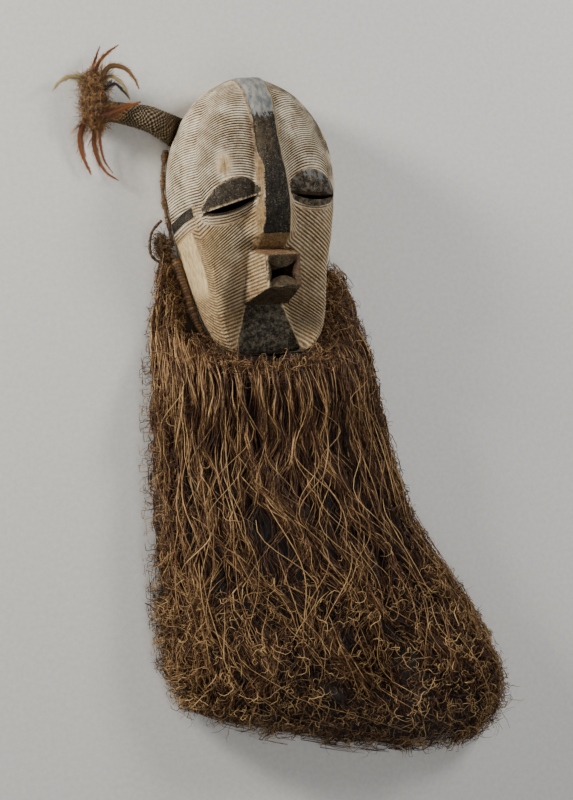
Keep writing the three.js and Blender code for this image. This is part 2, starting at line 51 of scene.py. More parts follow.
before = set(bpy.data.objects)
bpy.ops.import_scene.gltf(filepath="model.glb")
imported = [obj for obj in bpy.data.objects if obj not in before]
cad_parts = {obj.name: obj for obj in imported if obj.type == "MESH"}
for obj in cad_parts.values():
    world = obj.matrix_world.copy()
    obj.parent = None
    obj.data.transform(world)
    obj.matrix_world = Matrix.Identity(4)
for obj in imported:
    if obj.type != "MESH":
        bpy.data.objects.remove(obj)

# a millimetre in metres, and where the middle of the face lies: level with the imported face's middle, and as far
# above its lowest point as the chin reaches down
MM = 0.001
FACE_LOW, FACE_HIGH = (np.array(corner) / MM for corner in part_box("wooden_face"))
CHIN_REACH = 175.31
ORIGIN = np.array([0.5 * (FACE_LOW[0] + FACE_HIGH[0]), FACE_LOW[1] + CHIN_REACH, 0.0])
# no point lies lower than this over the floor, and every fibre has three sides
LEAST_HEIGHT = 0.03
STRAND_SIDES = 3


# Curves and noise that the shapes share


def mix(a, b, t):
    """The value a share t of the way from a to b: a plus t times their difference."""
    return a + (b - a) * t


def ease(t):
    """A smooth step: 0 below 0, 1 above 1, 3t^2 - 2t^3 between."""
    t = np.clip(t, 0.0, 1.0)
    return t * t * (3 - 2 * t)


def bump(value, centre, reach):
    """A bell of height 1 at the centre: e to the minus square of the distance, counted in reaches."""
    return np.exp(-(((value - centre) / reach) ** 2))


def arc(t, power):
    """A quarter of a superellipse: 1 at 0, falling to 0 at 1, squarer for a higher power."""
    return (1 - np.minimum(np.abs(t), 1.0) ** power) ** (1 / power)


def smooth_max(a, b, blend):
    """The larger of two heights, with a fillet of about the blend where they cross.

    It is half the sum of both and of the root of their squared difference plus the squared blend.
    """
    return 0.5 * (a + b + np.sqrt((a - b) ** 2 + blend * blend))


def unit(vectors):
    """Each vector divided by its length."""
    return vectors / np.maximum(np.linalg.norm(vectors, axis=-1, keepdims=True), 1e-9)


def ripple(seed, *coordinates):
    """Coherent noise from about -1 to 1: ten sine waves of random direction, 0.8 to 2 units long, summed."""
    rng = np.random.default_rng(seed)
    total = 0.0
    for _ in range(10):
        pull = rng.normal(size=len(coordinates))
        wave = 2 * math.pi * rng.uniform(0.5, 1.3) * pull / np.linalg.norm(pull)
        total = total + np.sin(sum(k * c for k, c in zip(wave, coordinates)) + rng.uniform(0, 2 * math.pi))
    return total / 3.2


def smooth_path(points, count):
    """A centripetal Catmull-Rom curve through the points, sampled at even lengths."""
    points = np.asarray(points, float)
    points = np.vstack([2 * points[0] - points[1], points, 2 * points[-1] - points[-2]])
    knots = np.concatenate([[0], np.cumsum(np.linalg.norm(np.diff(points, axis=0), axis=1) ** 0.5)])
    t = np.linspace(knots[1], knots[-2], 40 * len(points))
    k = np.clip(np.searchsorted(knots, t, side="right") - 1, 1, len(points) - 3)

    def between(a, b, i, j):
        """Two rows of points mixed by how far each t lies on the way from one knot to another."""
        w = ((t - knots[i]) / (knots[j] - knots[i]))[:, None]
        return a * (1 - w) + b * w

    p0, p1, p2, p3 = (points[k + i] for i in (-1, 0, 1, 2))
    a1, a2, a3 = between(p0, p1, k - 1, k), between(p1, p2, k, k + 1), between(p2, p3, k + 1, k + 2)
    b1, b2 = between(a1, a2, k - 1, k + 1), between(a2, a3, k, k + 2)
    curve = between(b1, b2, k, k + 1)
    run = np.concatenate([[0], np.cumsum(np.linalg.norm(np.diff(curve, axis=0), axis=1))])
    even = np.linspace(0, run[-1], count)
    return np.stack([np.interp(even, run, curve[:, axis]) for axis in range(3)], axis=1)


# Meshes from arrays


def add_mesh(name, points, corners, material, attributes=None, replaces=(), slot=None):
    """A closed mesh from points in millimetres and rows of corner numbers, set on the root body."""
    points = np.asarray(points, float).reshape(-1, 3) + ORIGIN
    if not len(points) or not np.isfinite(points).all():
        raise RuntimeError(f"{name} has no points, or a place that can't be worked out")
    points[:, 2] = np.maximum(points[:, 2], LEAST_HEIGHT)
    points = points * MM
    corners = np.asarray(corners, np.int32)
    count, sides = corners.shape
    mesh = bpy.data.meshes.new(name)
    mesh.vertices.add(len(points))
    mesh.vertices.foreach_set("co", points.astype(np.float32).ravel())
    mesh.loops.add(count * sides)
    mesh.loops.foreach_set("vertex_index", corners.ravel())
    mesh.polygons.add(count)
    mesh.polygons.foreach_set("loop_start", np.arange(0, count * sides, sides, dtype=np.int32))
    mesh.polygons.foreach_set("use_smooth", np.ones(count, bool))
    mesh.update(calc_edges=True)
    set_attributes(mesh, attributes or {})
    mesh.materials.append(material)
    piece = bpy.data.objects.new(name, mesh)
    bpy.context.scene.collection.objects.link(piece)
    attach(piece, "root")
    if replaces:
        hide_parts(*replaces)
    return piece


def set_attributes(mesh, attributes):
    """One number a point, for the materials to read."""
    for name, values in attributes.items():
        layer = mesh.attributes.new(name, "FLOAT", "POINT")
        layer.data.foreach_set("value", np.asarray(values, np.float32).ravel())


def read_points(mesh):
    """The points of a mesh in millimetres round the middle of the face."""
    flat = np.empty(3 * len(mesh.vertices), np.float32)
    mesh.vertices.foreach_get("co", flat)
    return flat.reshape(-1, 3).astype(float) / MM - ORIGIN


def tube_corners(rows, sides, start=0):
    """Triangles of rings of points joined in a row, which run clockwise seen from the last ring."""
    j, k = np.meshgrid(np.arange(rows - 1), np.arange(sides), indexing="ij")
    a = start + j * sides + k
    b = start + j * sides + (k + 1) % sides
    low = np.stack([a, a + sides, b + sides], axis=-1)
    high = np.stack([a, b + sides, b], axis=-1)
    return np.concatenate([low.reshape(-1, 3), high.reshape(-1, 3)])


def capped(rings):
    """Points and triangles of a closed loft: rings x sides x 3, with a hub in the middle of each end."""
    rows, sides, _ = rings.shape
    points = np.concatenate([rings.reshape(-1, 3), rings[[0, -1]].mean(axis=1)])
    k = np.arange(sides)
    after = (k + 1) % sides
    last = (rows - 1) * sides
    first_cap = np.stack([k, after, np.full(sides, rows * sides)], axis=1)
    last_cap = np.stack([last + after, last + k, np.full(sides, rows * sides + 1)], axis=1)
    return points, np.concatenate([tube_corners(rows, sides), first_cap, last_cap])


def joined(parts):
    """Several pairs of points and corner numbers as one."""
    starts = np.cumsum([0] + [len(points) for points, _ in parts])
    return (np.concatenate([points for points, _ in parts]),
            np.concatenate([corners + start for (_, corners), start in zip(parts, starts)]))


def even_angles(count):
    """Angles at even steps round a full turn."""
    return 2 * np.pi * np.arange(count) / count


def outward_rings(path, width, height, around):
    """Rings about a path: ellipses, the cosine times the width sideways and the sine times the height up."""
    along = unit(np.gradient(path, axis=0))
    side = unit(np.cross(along, [0.0, 0.0, 1.0]))
    up = np.cross(side, along)
    angle = even_angles(around)
    across = (np.cos(angle) * width)[..., None] * side[:, None, :]
    lift = (np.sin(angle) * height)[..., None] * up[:, None, :]
    return path[:, None, :] + across + lift


def fibres(paths, radii, flat, seed):
    """Closed thin tubes: paths is fibres x steps x 3, radii one a fibre.

    The corners of a ring are at even angles on an ellipse, flattened by the given share. The ring turns slowly
    along the fibre. Its radius is the root of a sine along the fibre, and more than a quarter at the two ends.
    """
    count, steps, _ = paths.shape
    rng = np.random.default_rng(seed)
    along = unit(np.gradient(paths, axis=1))
    side = unit(np.cross(along, np.array([0.03, 0.02, 1.0])))
    up = np.cross(side, along)
    twist = rng.uniform(0, 2 * np.pi, (count, 1)) + rng.normal(0, 1.6, (count, 1)) * np.linspace(0, 1, steps)
    wide = side * np.cos(twist)[..., None] + up * np.sin(twist)[..., None]
    thin = np.cross(wide, along) * flat
    taper = 0.25 + 0.75 * np.sin(np.pi * np.linspace(0.04, 0.96, steps)) ** 0.5
    radius = radii[:, None] * taper
    angle = even_angles(STRAND_SIDES)
    ring = (
        paths[:, :, None, :]
        + (np.cos(angle) * radius[..., None])[..., None] * wide[:, :, None, :]
        + (np.sin(angle) * radius[..., None])[..., None] * thin[:, :, None, :]
    )
    last = (steps - 1) * STRAND_SIDES
    ends = [[0, 1, 2], [last + 2, last + 1, last]]
    one = np.concatenate([tube_corners(steps, STRAND_SIDES), ends])
    corners = one[None] + (np.arange(count) * steps * STRAND_SIDES)[:, None, None]
    return ring.reshape(-1, 3), corners.reshape(-1, 3)


def spread(values, steps):
    """One value a fibre, or a fibre and step, repeated for every point of its tube."""
    values = np.asarray(values, float)
    if values.ndim == 1:
        values = np.repeat(values[:, None], steps, axis=1)
    return np.repeat(values.ravel(), STRAND_SIDES)


def curls(rng, start, heading, steps, length, curl, kink=0.0):
    """Curled paths: each starts on a heading and turns about its own slowly changing axis as it goes.

    At each step the direction is rotated by the curl's share, as in Rodrigues' formula, and knocked aside at
    random by the kink.
    """
    count = len(start)
    direction = unit(heading)
    axis = unit(rng.normal(size=(count, 3)))
    drift = rng.normal(0, 0.5, (count, 3))
    stride = (length / (steps - 1))[:, None]
    turn = curl * rng.uniform(0.3, 1.6, (count, 1)) / (steps - 1) * 2
    place = start + 0.0
    paths = [place]
    for _ in range(steps - 1):
        direction = direction * np.cos(turn) + np.cross(axis, direction) * np.sin(turn)
        direction = direction + (1 - np.cos(turn)) * axis * np.sum(axis * direction, axis=1, keepdims=True)
        direction = unit(direction + rng.normal(0, kink, (count, 3)))
        axis = unit(axis + drift * 0.35)
        place = place + direction * stride
        paths.append(place)
    return np.stack(paths, axis=1)


def thrown(rng, count, *spans):
    """Random directions: for each axis a normal draw with the middle and the spread that its span gives."""
    return np.column_stack([rng.normal(middle, breadth, count) for middle, breadth in spans])


def keep_over_floor(paths, least=0.6):
    """Paths pressed flat where they would go below the surface that the mask lies on."""
    paths[..., 2] = np.maximum(paths[..., 2], least)
    return paths


def add_strands(name, paths, radii, flat, seed, tone, material, node, slot):
    """A piece of many fibres over the floor, in place of a packed one, with a tone a fibre or a step of one."""
    points, corners = fibres(keep_over_floor(paths), radii, flat, seed)
    return add_mesh(name, points, corners, material, {"tone": spread(tone, paths.shape[1])}, [node], slot)


# The wooden face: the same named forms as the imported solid, with the fine carving added

CROWN_Y = 176.5
CHIN_Y = -177.0
WIDEST_Y = 32.0
RIM_HALF_WIDTH = 102.0
BROW_Y = 45.0
BROW_HEIGHT = 109.0
CROWN_TUCK = (6.0, 55.0)
RIDGE_FRACTION = 0.93
NOSE_TIP_Y = -31.5
NOSE_BASE_Y = -46.0
MOUTH_X, MOUTH_Y, MOUTH_HALF_WIDTH, MOUTH_HALF_HEIGHT, MOUTH_FRONT = 2.5, -79.5, 21.5, 19.5, 115.0
# how steeply the mouth block falls away on each side
LEFT_SLOPE, RIGHT_SLOPE, OVER_SLOPE, UNDER_SLOPE = 3.5, 7.0, 2.9, 3.9
HOLE_HALF_WIDTH, HOLE_HALF_HEIGHT, HOLE_PINCH_X, HOLE_PINCH_Y = 18.0, 13.2, 14.5, 5.0
LID_BULGE = 9.0
SLIT = 8.0
CHEEK_DEPTH = 26.5
BAND_HALF = 7.0
HOLLOW_SCALE = [0.873, 0.927, 0.86]
# the cheeks' grooves are this much wider than the forehead's
CHEEK_PITCH = 1.38
ROWS_PER_GROOVE = 4

# x and y of the inner corner, x and y of the outer one, heights of the upper and of the lower lid; -1 is left
EYES = {
    -1: (18.0, 16.0, 87.0, -2.5, 33.0, 17.5),
    1: (22.0, 18.5, 90.0, 13.0, 31.0, 15.5),
}


def below_widest(y):
    """How far a height is on the way down from the widest place to the chin, from 0 to 1."""
    return (WIDEST_Y - np.minimum(y, WIDEST_Y)) / (WIDEST_Y - CHIN_Y)


def rim_half_width(y):
    """Half the width of the rim: a pointed arch over the eyes, a blunt one below them.

    Both are quarter superellipses, and the lower one also narrows evenly by 14 percent.
    """
    q = below_widest(y)
    low = RIM_HALF_WIDTH * (1 - 0.14 * q) * arc(q, 2.5)
    high = RIM_HALF_WIDTH * arc((np.maximum(y, WIDEST_Y) - WIDEST_Y) / (CROWN_Y - WIDEST_Y), 1.85)
    return np.where(y > WIDEST_Y, high, low)


def widest(y):
    """Half the greatest width of a cross-section: the walls lean out over the rim.

    Above, the lean is a smooth step more than the rim. Below, it is an evenly narrowing quarter superellipse
    less a bell at the mouth.
    """
    lean = mix(3.0, 9.0, ease((y - WIDEST_Y) / 58)) * ease((CROWN_Y - y) / 38)
    q = below_widest(y)
    low = (RIM_HALF_WIDTH + 3) * (1 - 0.3 * q) * arc(q, 6) - 6 * bump(y, -80, 45)
    return np.where(y > WIDEST_Y, rim_half_width(y) + lean, low)


def face_height(y):
    """Height of the middle above the rim: level below the brow, rounded over at the crown.

    Above the brow it is a quarter superellipse, and below it an even slope that ends in a very square one.
    """
    high = BROW_HEIGHT * arc((np.maximum(y, BROW_Y) - BROW_Y) / (CROWN_Y - BROW_Y), 3.1)
    low = (BROW_HEIGHT - 0.18 * (BROW_Y - y)) * arc(below_widest(y), 14)
    return np.where(y > BROW_Y, high, low)


def squareness(y):
    """How boxy a cross-section is, as the power of its superellipse: it grows from the crown to the chin."""
    high = 3.9 - 1.1 * ((np.maximum(y, 30) - 30) / (CROWN_Y - 30)) ** 0.8
    low = 3.9 + 4.1 * ((30 - np.minimum(y, 30)) / 176) ** 1.3
    return np.where(y > 30, high, low)


def panel_edge(y, side):
    """Half the width of the black panel on one side: it starts off centre and flares evenly to the chin."""
    start = np.where(side < 0, 31.0, 19.5)
    return mix(start, 45.5, np.clip((-114 - y) / 56, 0, 1.1))


def panel_half(y):
    """Half the width of the flat middle of the jaw: an even flare to the chin, within a share of the width."""
    flare = mix(26.0, 44.0, np.clip((-112 - y) / 60, 0, 1.1))
    return np.minimum(flare, (0.42 + 0.36 * ease((-92 - y) / 60)) * widest(y))


def base_height(x, y):
    """A boxy dome, a superellipse across, whose lower middle is hollowed between the two cheek ridges.

    The hollow is a smooth step down the face times an even slope from the middle out to the ridge.
    """
    width = np.maximum(widest(y), 0.5)
    dome = face_height(y) * arc(x / width, squareness(y))
    inner = panel_half(y)
    across = np.clip((np.abs(x) - inner) / np.maximum(0.88 * width - inner, 0.1), 0, 1)
    depth = CHEEK_DEPTH * ease((10 - y) / 140) * arc((WIDEST_Y - np.minimum(y, WIDEST_Y)) / 209, 14)
    return dome - depth * (1 - across)


def edge_x(y):
    """The x of the edge between the front and the side wall: an even share of the half width."""
    return RIDGE_FRACTION * widest(y)


def ridge_height(y):
    """The height of that edge: the dome's own height there."""
    return base_height(edge_x(y), y)


def wall_x(y, z):
    """How far the side wall stands from the middle at a height: the dome's superellipse turned on its side.

    Towards the floor it is drawn to the rim's width by the cube of the height left.
    """
    level = np.clip(z / np.maximum(face_height(y), 0.1), 0, 1)
    width = widest(y)
    return width * arc(level, squareness(y)) + (rim_half_width(y) - width) * (1 - level) ** 3


def crest_half(y):
    """Half the crest's width: least at the brow.

    It grows to the crown by a square, and to the nose by a smooth step.
    """
    high = np.minimum(mix(11.8, 14.0, np.clip((y - 90) / 51, 0, 1) ** 2), 0.55 * widest(y))
    return np.where(y > 90, high, mix(11.8, 17.0, ease((90 - y) / 105)))


def crest_top(y):
    """The crest's height: a rise on the dome, by a power of a smooth step from the crown to the nose's tip.

    It starts from nothing at the crown, and drops evenly and steeply under the tip.
    """
    tip = np.maximum(y, NOSE_TIP_Y)
    rise = mix(5.0, 23.0, ease((150 - tip) / 165) ** 1.6)
    rise = rise * ease((CROWN_Y - 1 - y) / 7)
    return base_height(0.0, tip) + rise - 1.75 * np.maximum(NOSE_TIP_Y - y, 0)


def flank_slope(y):
    """How steep the crest's flanks are: less beside the nose, by a smooth step."""
    return mix(1.9, 1.2, ease((45 - y) / 80))


def crest_chips(x, y):
    """Chips along the crest's edges and a dent across it, as bells, with the ripples that the adze left."""
    chips = 2.8 * bump(x, -14, 4.5) * bump(y, 110, 9) + 2.6 * bump(x, -13, 4) * bump(y, 78, 11)
    chips = chips + 2.0 * bump(x, 14, 4) * bump(y, 92, 9) + 1.8 * bump(x, 13, 3.5) * bump(y, 60, 8)
    chips = chips + 2.0 * bump(x, -3, 9) * bump(y, 101, 5) + 1.4 * bump(x, 4, 8) * bump(y, 124, 6)
    return chips + 0.45 * ripple(12, x / 8, y / 13) * ease((y + 25) / 20)


def crest_height(x, y):
    """The crest across: nearly flat on top, then its even flanks, less its chips.

    The top falls by a square to its edges, by 1.6 mm.
    """
    half = crest_half(y)
    side = np.maximum(np.abs(x) - half, 0)
    crown = 1.6 * np.minimum(np.abs(x) / half, 1) ** 2
    return crest_top(y) - crown - flank_slope(y) * side - crest_chips(x, y)


def eye_place(x, y):
    """Where a point is on its eye: p evenly along the slit from the inner corner, and the slit's height there.

    The other two results are the heights of the upper and of the lower lid.
    """
    inner_x, inner_y, outer_x, outer_y, upper, lower = (
        np.where(x < 0, left, right) for left, right in zip(EYES[-1], EYES[1]))
    p = (np.abs(x) - inner_x) / (outer_x - inner_x)
    return p, mix(inner_y, outer_y, p), upper, lower


def opening(p):
    """The almond outline of a lid: a flattened sine from corner to corner."""
    return np.maximum(np.sin(np.pi * np.clip(p, 0, 1)), 0.001) ** 0.45


def slit_bow(u):
    """How far the slit's lower edge hangs below its straight upper one: a flattened sine along the slit."""
    return SLIT * np.maximum(np.sin(np.pi * np.clip(u, 0, 1)) ** 0.6, 0.1)


def upper_lid(x, y):
    """The height of the upper lid over the slit, which shrinks to nothing at both corners."""
    p, _, upper, _ = eye_place(x, y)
    return upper * opening(p)


def lid_places(x, y):
    """How far up the upper lid and down the lower lid a point is, from 0 at the slit to 1 at the edge."""
    p, line, upper, lower = eye_place(x, y)
    above = (y - line) / (upper * opening(p))
    below = (line - 0.5 - y) / (lower * opening(p))
    inside = (p > 0.01) & (p < 0.99)
    return p, above, below, inside


def lid_height(x, y):
    """Two shells over the eye: the upper lid swells most at the slit, the lower one a little.

    The upper one is an ellipse over its height and the lower one an even slope, each times a root of a sine
    along the eye.
    """
    base = base_height(x, y)
    p, above, below, inside = lid_places(x, y)
    swell = np.sin(np.pi * np.clip(mix(0.04, 0.95, p), 0, 1)) ** 0.5
    upper = base + LID_BULGE * swell * np.sqrt(np.maximum(1 - 0.98 * above * above, 0)) - 0.5
    lower = base + 4 * np.clip(1 - below, 0, 1) * swell - 0.4
    high = np.where(inside & (above >= 0) & (above <= 1), upper, base - 6)
    low = np.where(inside & (above < 0) & (below <= 1), lower, base - 6)
    return np.maximum(high, low)


def mouth_places(x, y):
    """Distances beyond the mouth block's sides: left, right, above and below.

    Its lower right corner is cut back evenly.
    """
    left = np.maximum(MOUTH_X - MOUTH_HALF_WIDTH - x, 0)
    above = np.maximum(y - MOUTH_Y - MOUTH_HALF_HEIGHT, 0)
    below = np.maximum(MOUTH_Y - MOUTH_HALF_HEIGHT - y, 0)
    right = np.maximum(x + 0.33 * below - MOUTH_X - MOUTH_HALF_WIDTH, 0)
    return left, right, above, below


def lip_dish(x, y):
    """The lips fall away from the square frame to the four-pointed hole, between curved edges.

    The hole's edge is a parabola, and the fall is a power of how far a point lies from the frame towards it.
    """
    across = (x - MOUTH_X) / HOLE_HALF_WIDTH
    rise = np.abs(y - MOUTH_Y)
    edge = HOLE_PINCH_Y + (HOLE_HALF_HEIGHT - HOLE_PINCH_Y) * np.minimum(across * across, 1.3)
    out = np.clip((rise - edge) / np.maximum(MOUTH_HALF_HEIGHT - edge, 1), 0, 1)
    frame_side = ease((np.abs(across) - 0.86) / 0.3)
    return 6.5 * (1 - out) ** 1.4 * (1 - frame_side)


def mouth_height(x, y):
    """The square mouth block: steep beside it, sloping above it and below it to the chin.

    The fall is the largest of the four distances beyond its sides, each times that side's slope.
    """
    left, right, above, below = mouth_places(x, y)
    beside = np.maximum(LEFT_SLOPE * left, RIGHT_SLOPE * right)
    fall = np.maximum(beside, np.maximum(OVER_SLOPE * above, UNDER_SLOPE * below))
    tilt = 0.05 * (y - MOUTH_Y)
    return MOUTH_FRONT - fall + tilt - np.where(fall > 0, 0, lip_dish(x, y))


def front_height(x, y):
    """All forms of the front joined, each with a small fillet where it meets the next."""
    height = smooth_max(base_height(x, y), lid_height(x, y), 0.5)
    nose = np.where((y > NOSE_BASE_Y - 4), crest_height(x, y), -50.0)
    height = smooth_max(height, nose, 0.9)
    return smooth_max(height, mouth_height(x, y), 1.0)


# The lines of the carving


def groove_count(v, pitch):
    """How many grooves lie between the chin and the height v.

    It is the sum of 1 / pitch along v, with the pitch wider below the eyes by a smooth step. Over the crown
    the sum runs along the surface, by Pythagoras, so that the grooves keep their distance where it falls away.
    """
    heights = np.linspace(CHIN_Y, CROWN_Y + 20, 800)
    wide = pitch * mix(CHEEK_PITCH, 1.0, ease((heights + 25) / 60))
    steep = np.gradient(face_height(np.minimum(heights, CROWN_Y)), heights) * ease((heights - 90) / 40)
    wide = wide / np.minimum(np.hypot(1.0, steep), 2.6)
    return np.interp(v, heights, np.concatenate([[0], np.cumsum(np.diff(heights) / wide[1:])]))


def row_count(v, pitch):
    """The same for the rows of the mesh, with 22 more beside the eyes, where the rows fan out."""
    return groove_count(v, pitch) + 22 * ease((v + 2) / 48)


def forehead_count(v, pitch):
    """The forehead's own grooves, numbered like the rows above the eyes and carried on evenly below them."""
    return np.where(v > 60, row_count(v, pitch), row_count(60.0, pitch) + (v - 60) / pitch)


def cheek_count(v, pitch):
    """The cheeks' own grooves, numbered like the rows below the eyes and carried on evenly above them."""
    return row_count(-40.0, pitch) + (v + 40) / (CHEEK_PITCH * pitch)


def forehead_drop(s, v, side):
    """How far a groove of the forehead has dropped below v, its height at the middle.

    Each half of a line is an arch along s, the fraction of the front's half width: it rises by a parabola to
    its peak, falls by a cubic, and runs nearly level past the temple. The arches are taller near the eyes.
    """
    left = side < 0
    peak, bend, cap = np.where(left, 0.43, 0.58), np.where(left, 83.0, 430.0), np.where(left, 0.9, 0.97)
    arch = np.where(left, 1 + 0.7 * ease((110 - v) / 90), 0.9 + 1.1 * ease((130 - v) / 110))
    fall = np.maximum(np.minimum(s, cap) - peak, 0)
    drop = 55 * arch * (np.minimum(s - peak, 0) ** 2 - peak ** 2)
    drop = drop + 55 * fall ** 2 + bend * fall ** 3 + 10 * np.maximum(s - cap, 0)
    return drop * ease((CROWN_Y - v) / 60)


def cheek_drop(s, v, side):
    """The same on the cheeks: a straight slope down from the nose, steeper towards the eyes."""
    left = 16 + 49 * np.clip((v + 143) / 163, 0, 1.15) ** 1.6
    right = mix(40.0, 62.0, ease((v + 140) / 80))
    return np.where(side < 0, left, right) * s


def row_drop(s, v, side):
    """The drop of the mesh's rows: the cheeks' below the eyes and the forehead's above.

    A smooth step leads from one to the other beside the eyes.
    """
    return mix(cheek_drop(s, v, side), forehead_drop(s, v, side), ease((v + 2) / 48))


def band_middle(down):
    """The height of the black band across the temple, down millimetres below the ridge: an even slope."""
    return mix(3.0, -12.0, np.clip(down / 88, 0, 1))


def eye_divide(x, y):
    """The height that parts the forehead's lines from the cheeks'.

    It follows the eye's slit, and then climbs to the band by a smooth step.
    """
    p, line, _, _ = eye_place(x, y)
    return mix(line, band_middle(0.0), ease((p - 1) / 0.14))


def line_height(s, down, y, side, drop, slope):
    """The height v of the line through a point of a system of lines, found by repeated substitution."""
    v = y + 0.0
    for _ in range(40):
        v = mix(v, y + drop(s, v, side) + slope * down, 0.7)
    return v


def groove_field(x, y, s, down, on_wall, pitch):
    """The running number of the groove at each point, and 0 along the seams between sets of lines.

    The sets are the forehead's, the cheeks', the rings round the lower lids and three lines under the black
    band. A groove's bottom is where the number is whole. The third result is the height that parts the
    forehead from the cheeks, the fourth the distance below the slit.
    """
    over = forehead_count(line_height(s, down, y, x, forehead_drop, 0.075), pitch)
    under = cheek_count(line_height(s, down, y, x, cheek_drop, -0.45), pitch)
    divide = np.where(on_wall, band_middle(down), eye_divide(x, y))
    number = np.where(y > divide, over, under)
    seam = ease(np.abs(y - divide) / 1.2)

    p, line, _, lower = eye_place(x, y)
    bow = slit_bow((p - 0.05) / 0.88)
    below_slit = line + 0.5 - bow - y
    ring_end = 1.3 * lower * opening(p) + 1.5 - bow
    ring = (p > -0.08) & (p < 1.04) & (y < line) & (below_slit < ring_end) & ~on_wall
    number = np.where(ring, 0.1 + below_slit / 3.3, number)
    near = (p > -0.1) & (p < 1.06) & ~on_wall
    seam = np.where(near, np.minimum(seam, ease(np.abs(below_slit - ring_end) / 0.8)), seam)

    strip_height = 13
    from_band = band_middle(down) - BAND_HALF - y
    strip = on_wall & (from_band > -1) & (from_band < strip_height)
    number = np.where(strip, from_band / 4.0, number)
    seam = np.where(on_wall, np.minimum(seam, ease(np.abs(from_band - strip_height))), seam)
    return number, seam, divide, below_slit


def zones(x, y, z, pitch):
    """Where the paint, the bare wood and the grooves are, each from 0 to 1, for points of the carved face.

    Each zone is a smooth step across its edge, and stains and wear are bells. Some zones also paint light and
    shade: the cheeks' darker clay is partly painted shade, the crown's grey-blue is partly a painted highlight, a
    patch of painted light keeps the clay pale where the face is shaded, and the strip left of the crest is partly
    a painted shadow. The groove's running number is kept too, so that the material can draw the dirt round each
    whole number sharply.
    """
    # on which side a point is, on the wall or the front, how far down the wall, and in the hollow or not
    left, ahead = x < 0, np.abs(x)
    edge, ridge = edge_x(y), ridge_height(y)
    on_wall = ahead > edge + 0.05
    on_front = ~on_wall
    down = np.where(on_wall, np.maximum(ridge - z, 0), 0.0)
    s = np.minimum(ahead / np.maximum(edge, 0.5), 1.0)
    behind_wall = ahead < wall_x(y, np.clip(z, 0, ridge)) - 3.5
    behind_front = z < front_height(x, y + 2.4 * ease((y - 60) / 60)) - 2.4
    inside = np.where(on_wall, behind_wall, behind_front) | (z < 0.3)
    number, seam, divide, below_slit = groove_field(x, y, s, down, on_wall, pitch)

    # the lids
    p, above, below, over_eye = lid_places(x, y)
    top_lid = over_eye & (above > -0.06) & (above < 1.0) & on_front
    low_lid = over_eye & (above <= 0) & (below < 1.0) & on_front
    dark_lid = np.where(left, 3.2, 2.6 + 6.5 * opening(p))
    lids = np.where(top_lid, ease((1.0 - above) / 0.07), low_lid * ease((dark_lid - below_slit) / 1.6))

    # the crest with its bare flanks
    half = crest_half(y)
    wider = np.where(left, 0.4 + 4.5 * ease((y - 45) / 30), 0.4)
    crest_edge = ease((half + wider - ahead) / 1.2) * ease((y - NOSE_TIP_Y + 1.5) / 1.5) * on_front
    flank = ease((half + np.where(left, 8.0, 4.5) - ahead) / 2)
    flank = flank * (1 - crest_edge) * (y > NOSE_BASE_Y) * on_front

    # the mouth block: its lips, its faces under and over them, the chin's panel, and what is under the nose
    m_left, m_right, m_above, m_below = mouth_places(x, y)
    round_block = np.maximum(base_height(x, y), crest_height(x, y) - 50 * (y < -52))
    on_block = mouth_height(x, y) > round_block - 1.5
    lips = ease(1.6 - (m_left + m_right + m_above + m_below)) * on_front
    m_beside = np.maximum(LEFT_SLOPE * m_left, RIGHT_SLOPE * m_right)
    under = on_block & (m_below > 0.4) & (UNDER_SLOPE * m_below > m_beside)
    over = on_block & (m_above > 0.2) & (OVER_SLOPE * m_above >= m_beside)
    panel = ease((panel_edge(y, x) - 0.4 - ahead) / 1.4) * ease((-112.5 - y) / 2.5) * ~on_block * on_front
    nose_under = ease((half + 2 - ahead) / 2) * ease((NOSE_TIP_Y + 0.5 - y) / 1.5) * (y > NOSE_BASE_Y - 5)
    nose_under = nose_under * on_front * ~on_block
    philtrum = ease((19 - np.abs(x + 4)) / 6) * ease((-45 - y) / 4) * ease((y + 70) / 6)
    philtrum = philtrum * on_front * ~lips.astype(bool)

    # the band and the smooth panel of the side wall, and the worn patch of the forehead
    band_y = band_middle(down)
    band = ease((BAND_HALF - np.abs(y - band_y)) / 1.5) * on_wall
    side_panel = ease((band_y - 19 - y) / 6) * ease((down - 9) / 5) * ease((y + 118) / 40) * on_wall
    worn = bump(x, -59, 9) * bump(y, 54, 15) * 1.25 * on_front
    bared = np.clip(worn, 0, 1)

    # what the zones add up to
    black = np.maximum.reduce([lids, crest_edge, panel, band, under * 1.0, lips * 0.9])
    bare = np.maximum.reduce([nose_under, philtrum * 0.9, over * 0.9, flank * 0.78, bared * 0.55])
    red = np.maximum.reduce([philtrum, over * 0.3, lips * ease((x - MOUTH_X - 9) / 5) * 0.4])
    tan = np.maximum(side_panel, bared * 0.8)
    plain = np.maximum.reduce([black, nose_under, philtrum, side_panel, np.clip(worn * 1.3, 0, 1), flank])
    brown = np.maximum.reduce([
        lips, under * 0.8, (low_lid & (lids > 0)) * 0.6, 0.1 * panel, 0.22 * top_lid,
        0.6 * crest_edge * bump(y, 86, 26) * ease((8 - x) / 8)])
    # painted light: the clay is kept paler left of the mouth block, where the face lies in shade, and over the
    # whole right cheek, which is turned from the key light
    painted_light = np.where(left, 0.45 * bump(x, -44, 20) * ease(-y / 30) * ease((y + 128) / 30), 0.24)

    # stains: each a bell round its middle in x and in y, and a strip left of the crest that is partly ochre stain
    # and partly the crest's painted shadow
    spots = ((1.0, x, -27, 8, -103, 11), (0.3, x, -22, 5, -62, 14), (0.5, x, -48, 26, 72, 42),
             (0.9, ahead, 92, 7, 6, 9), (0.7, x, -17, 6, 0, 30))
    spots = sum(share * bump(at, mx, wide) * bump(y, my, tall) for share, at, mx, wide, my, tall in spots)
    # the strip left of the crest: partly an ochre stain, partly a painted shadow of the crest
    beside = bump(x, -20, 8) * ease((y - 36) / 20) * ease((128 - y) / 20) * on_front
    stain = np.maximum.reduce([0.85 * spots, flank * ease((y + 10) / 40) * 0.9, beside])

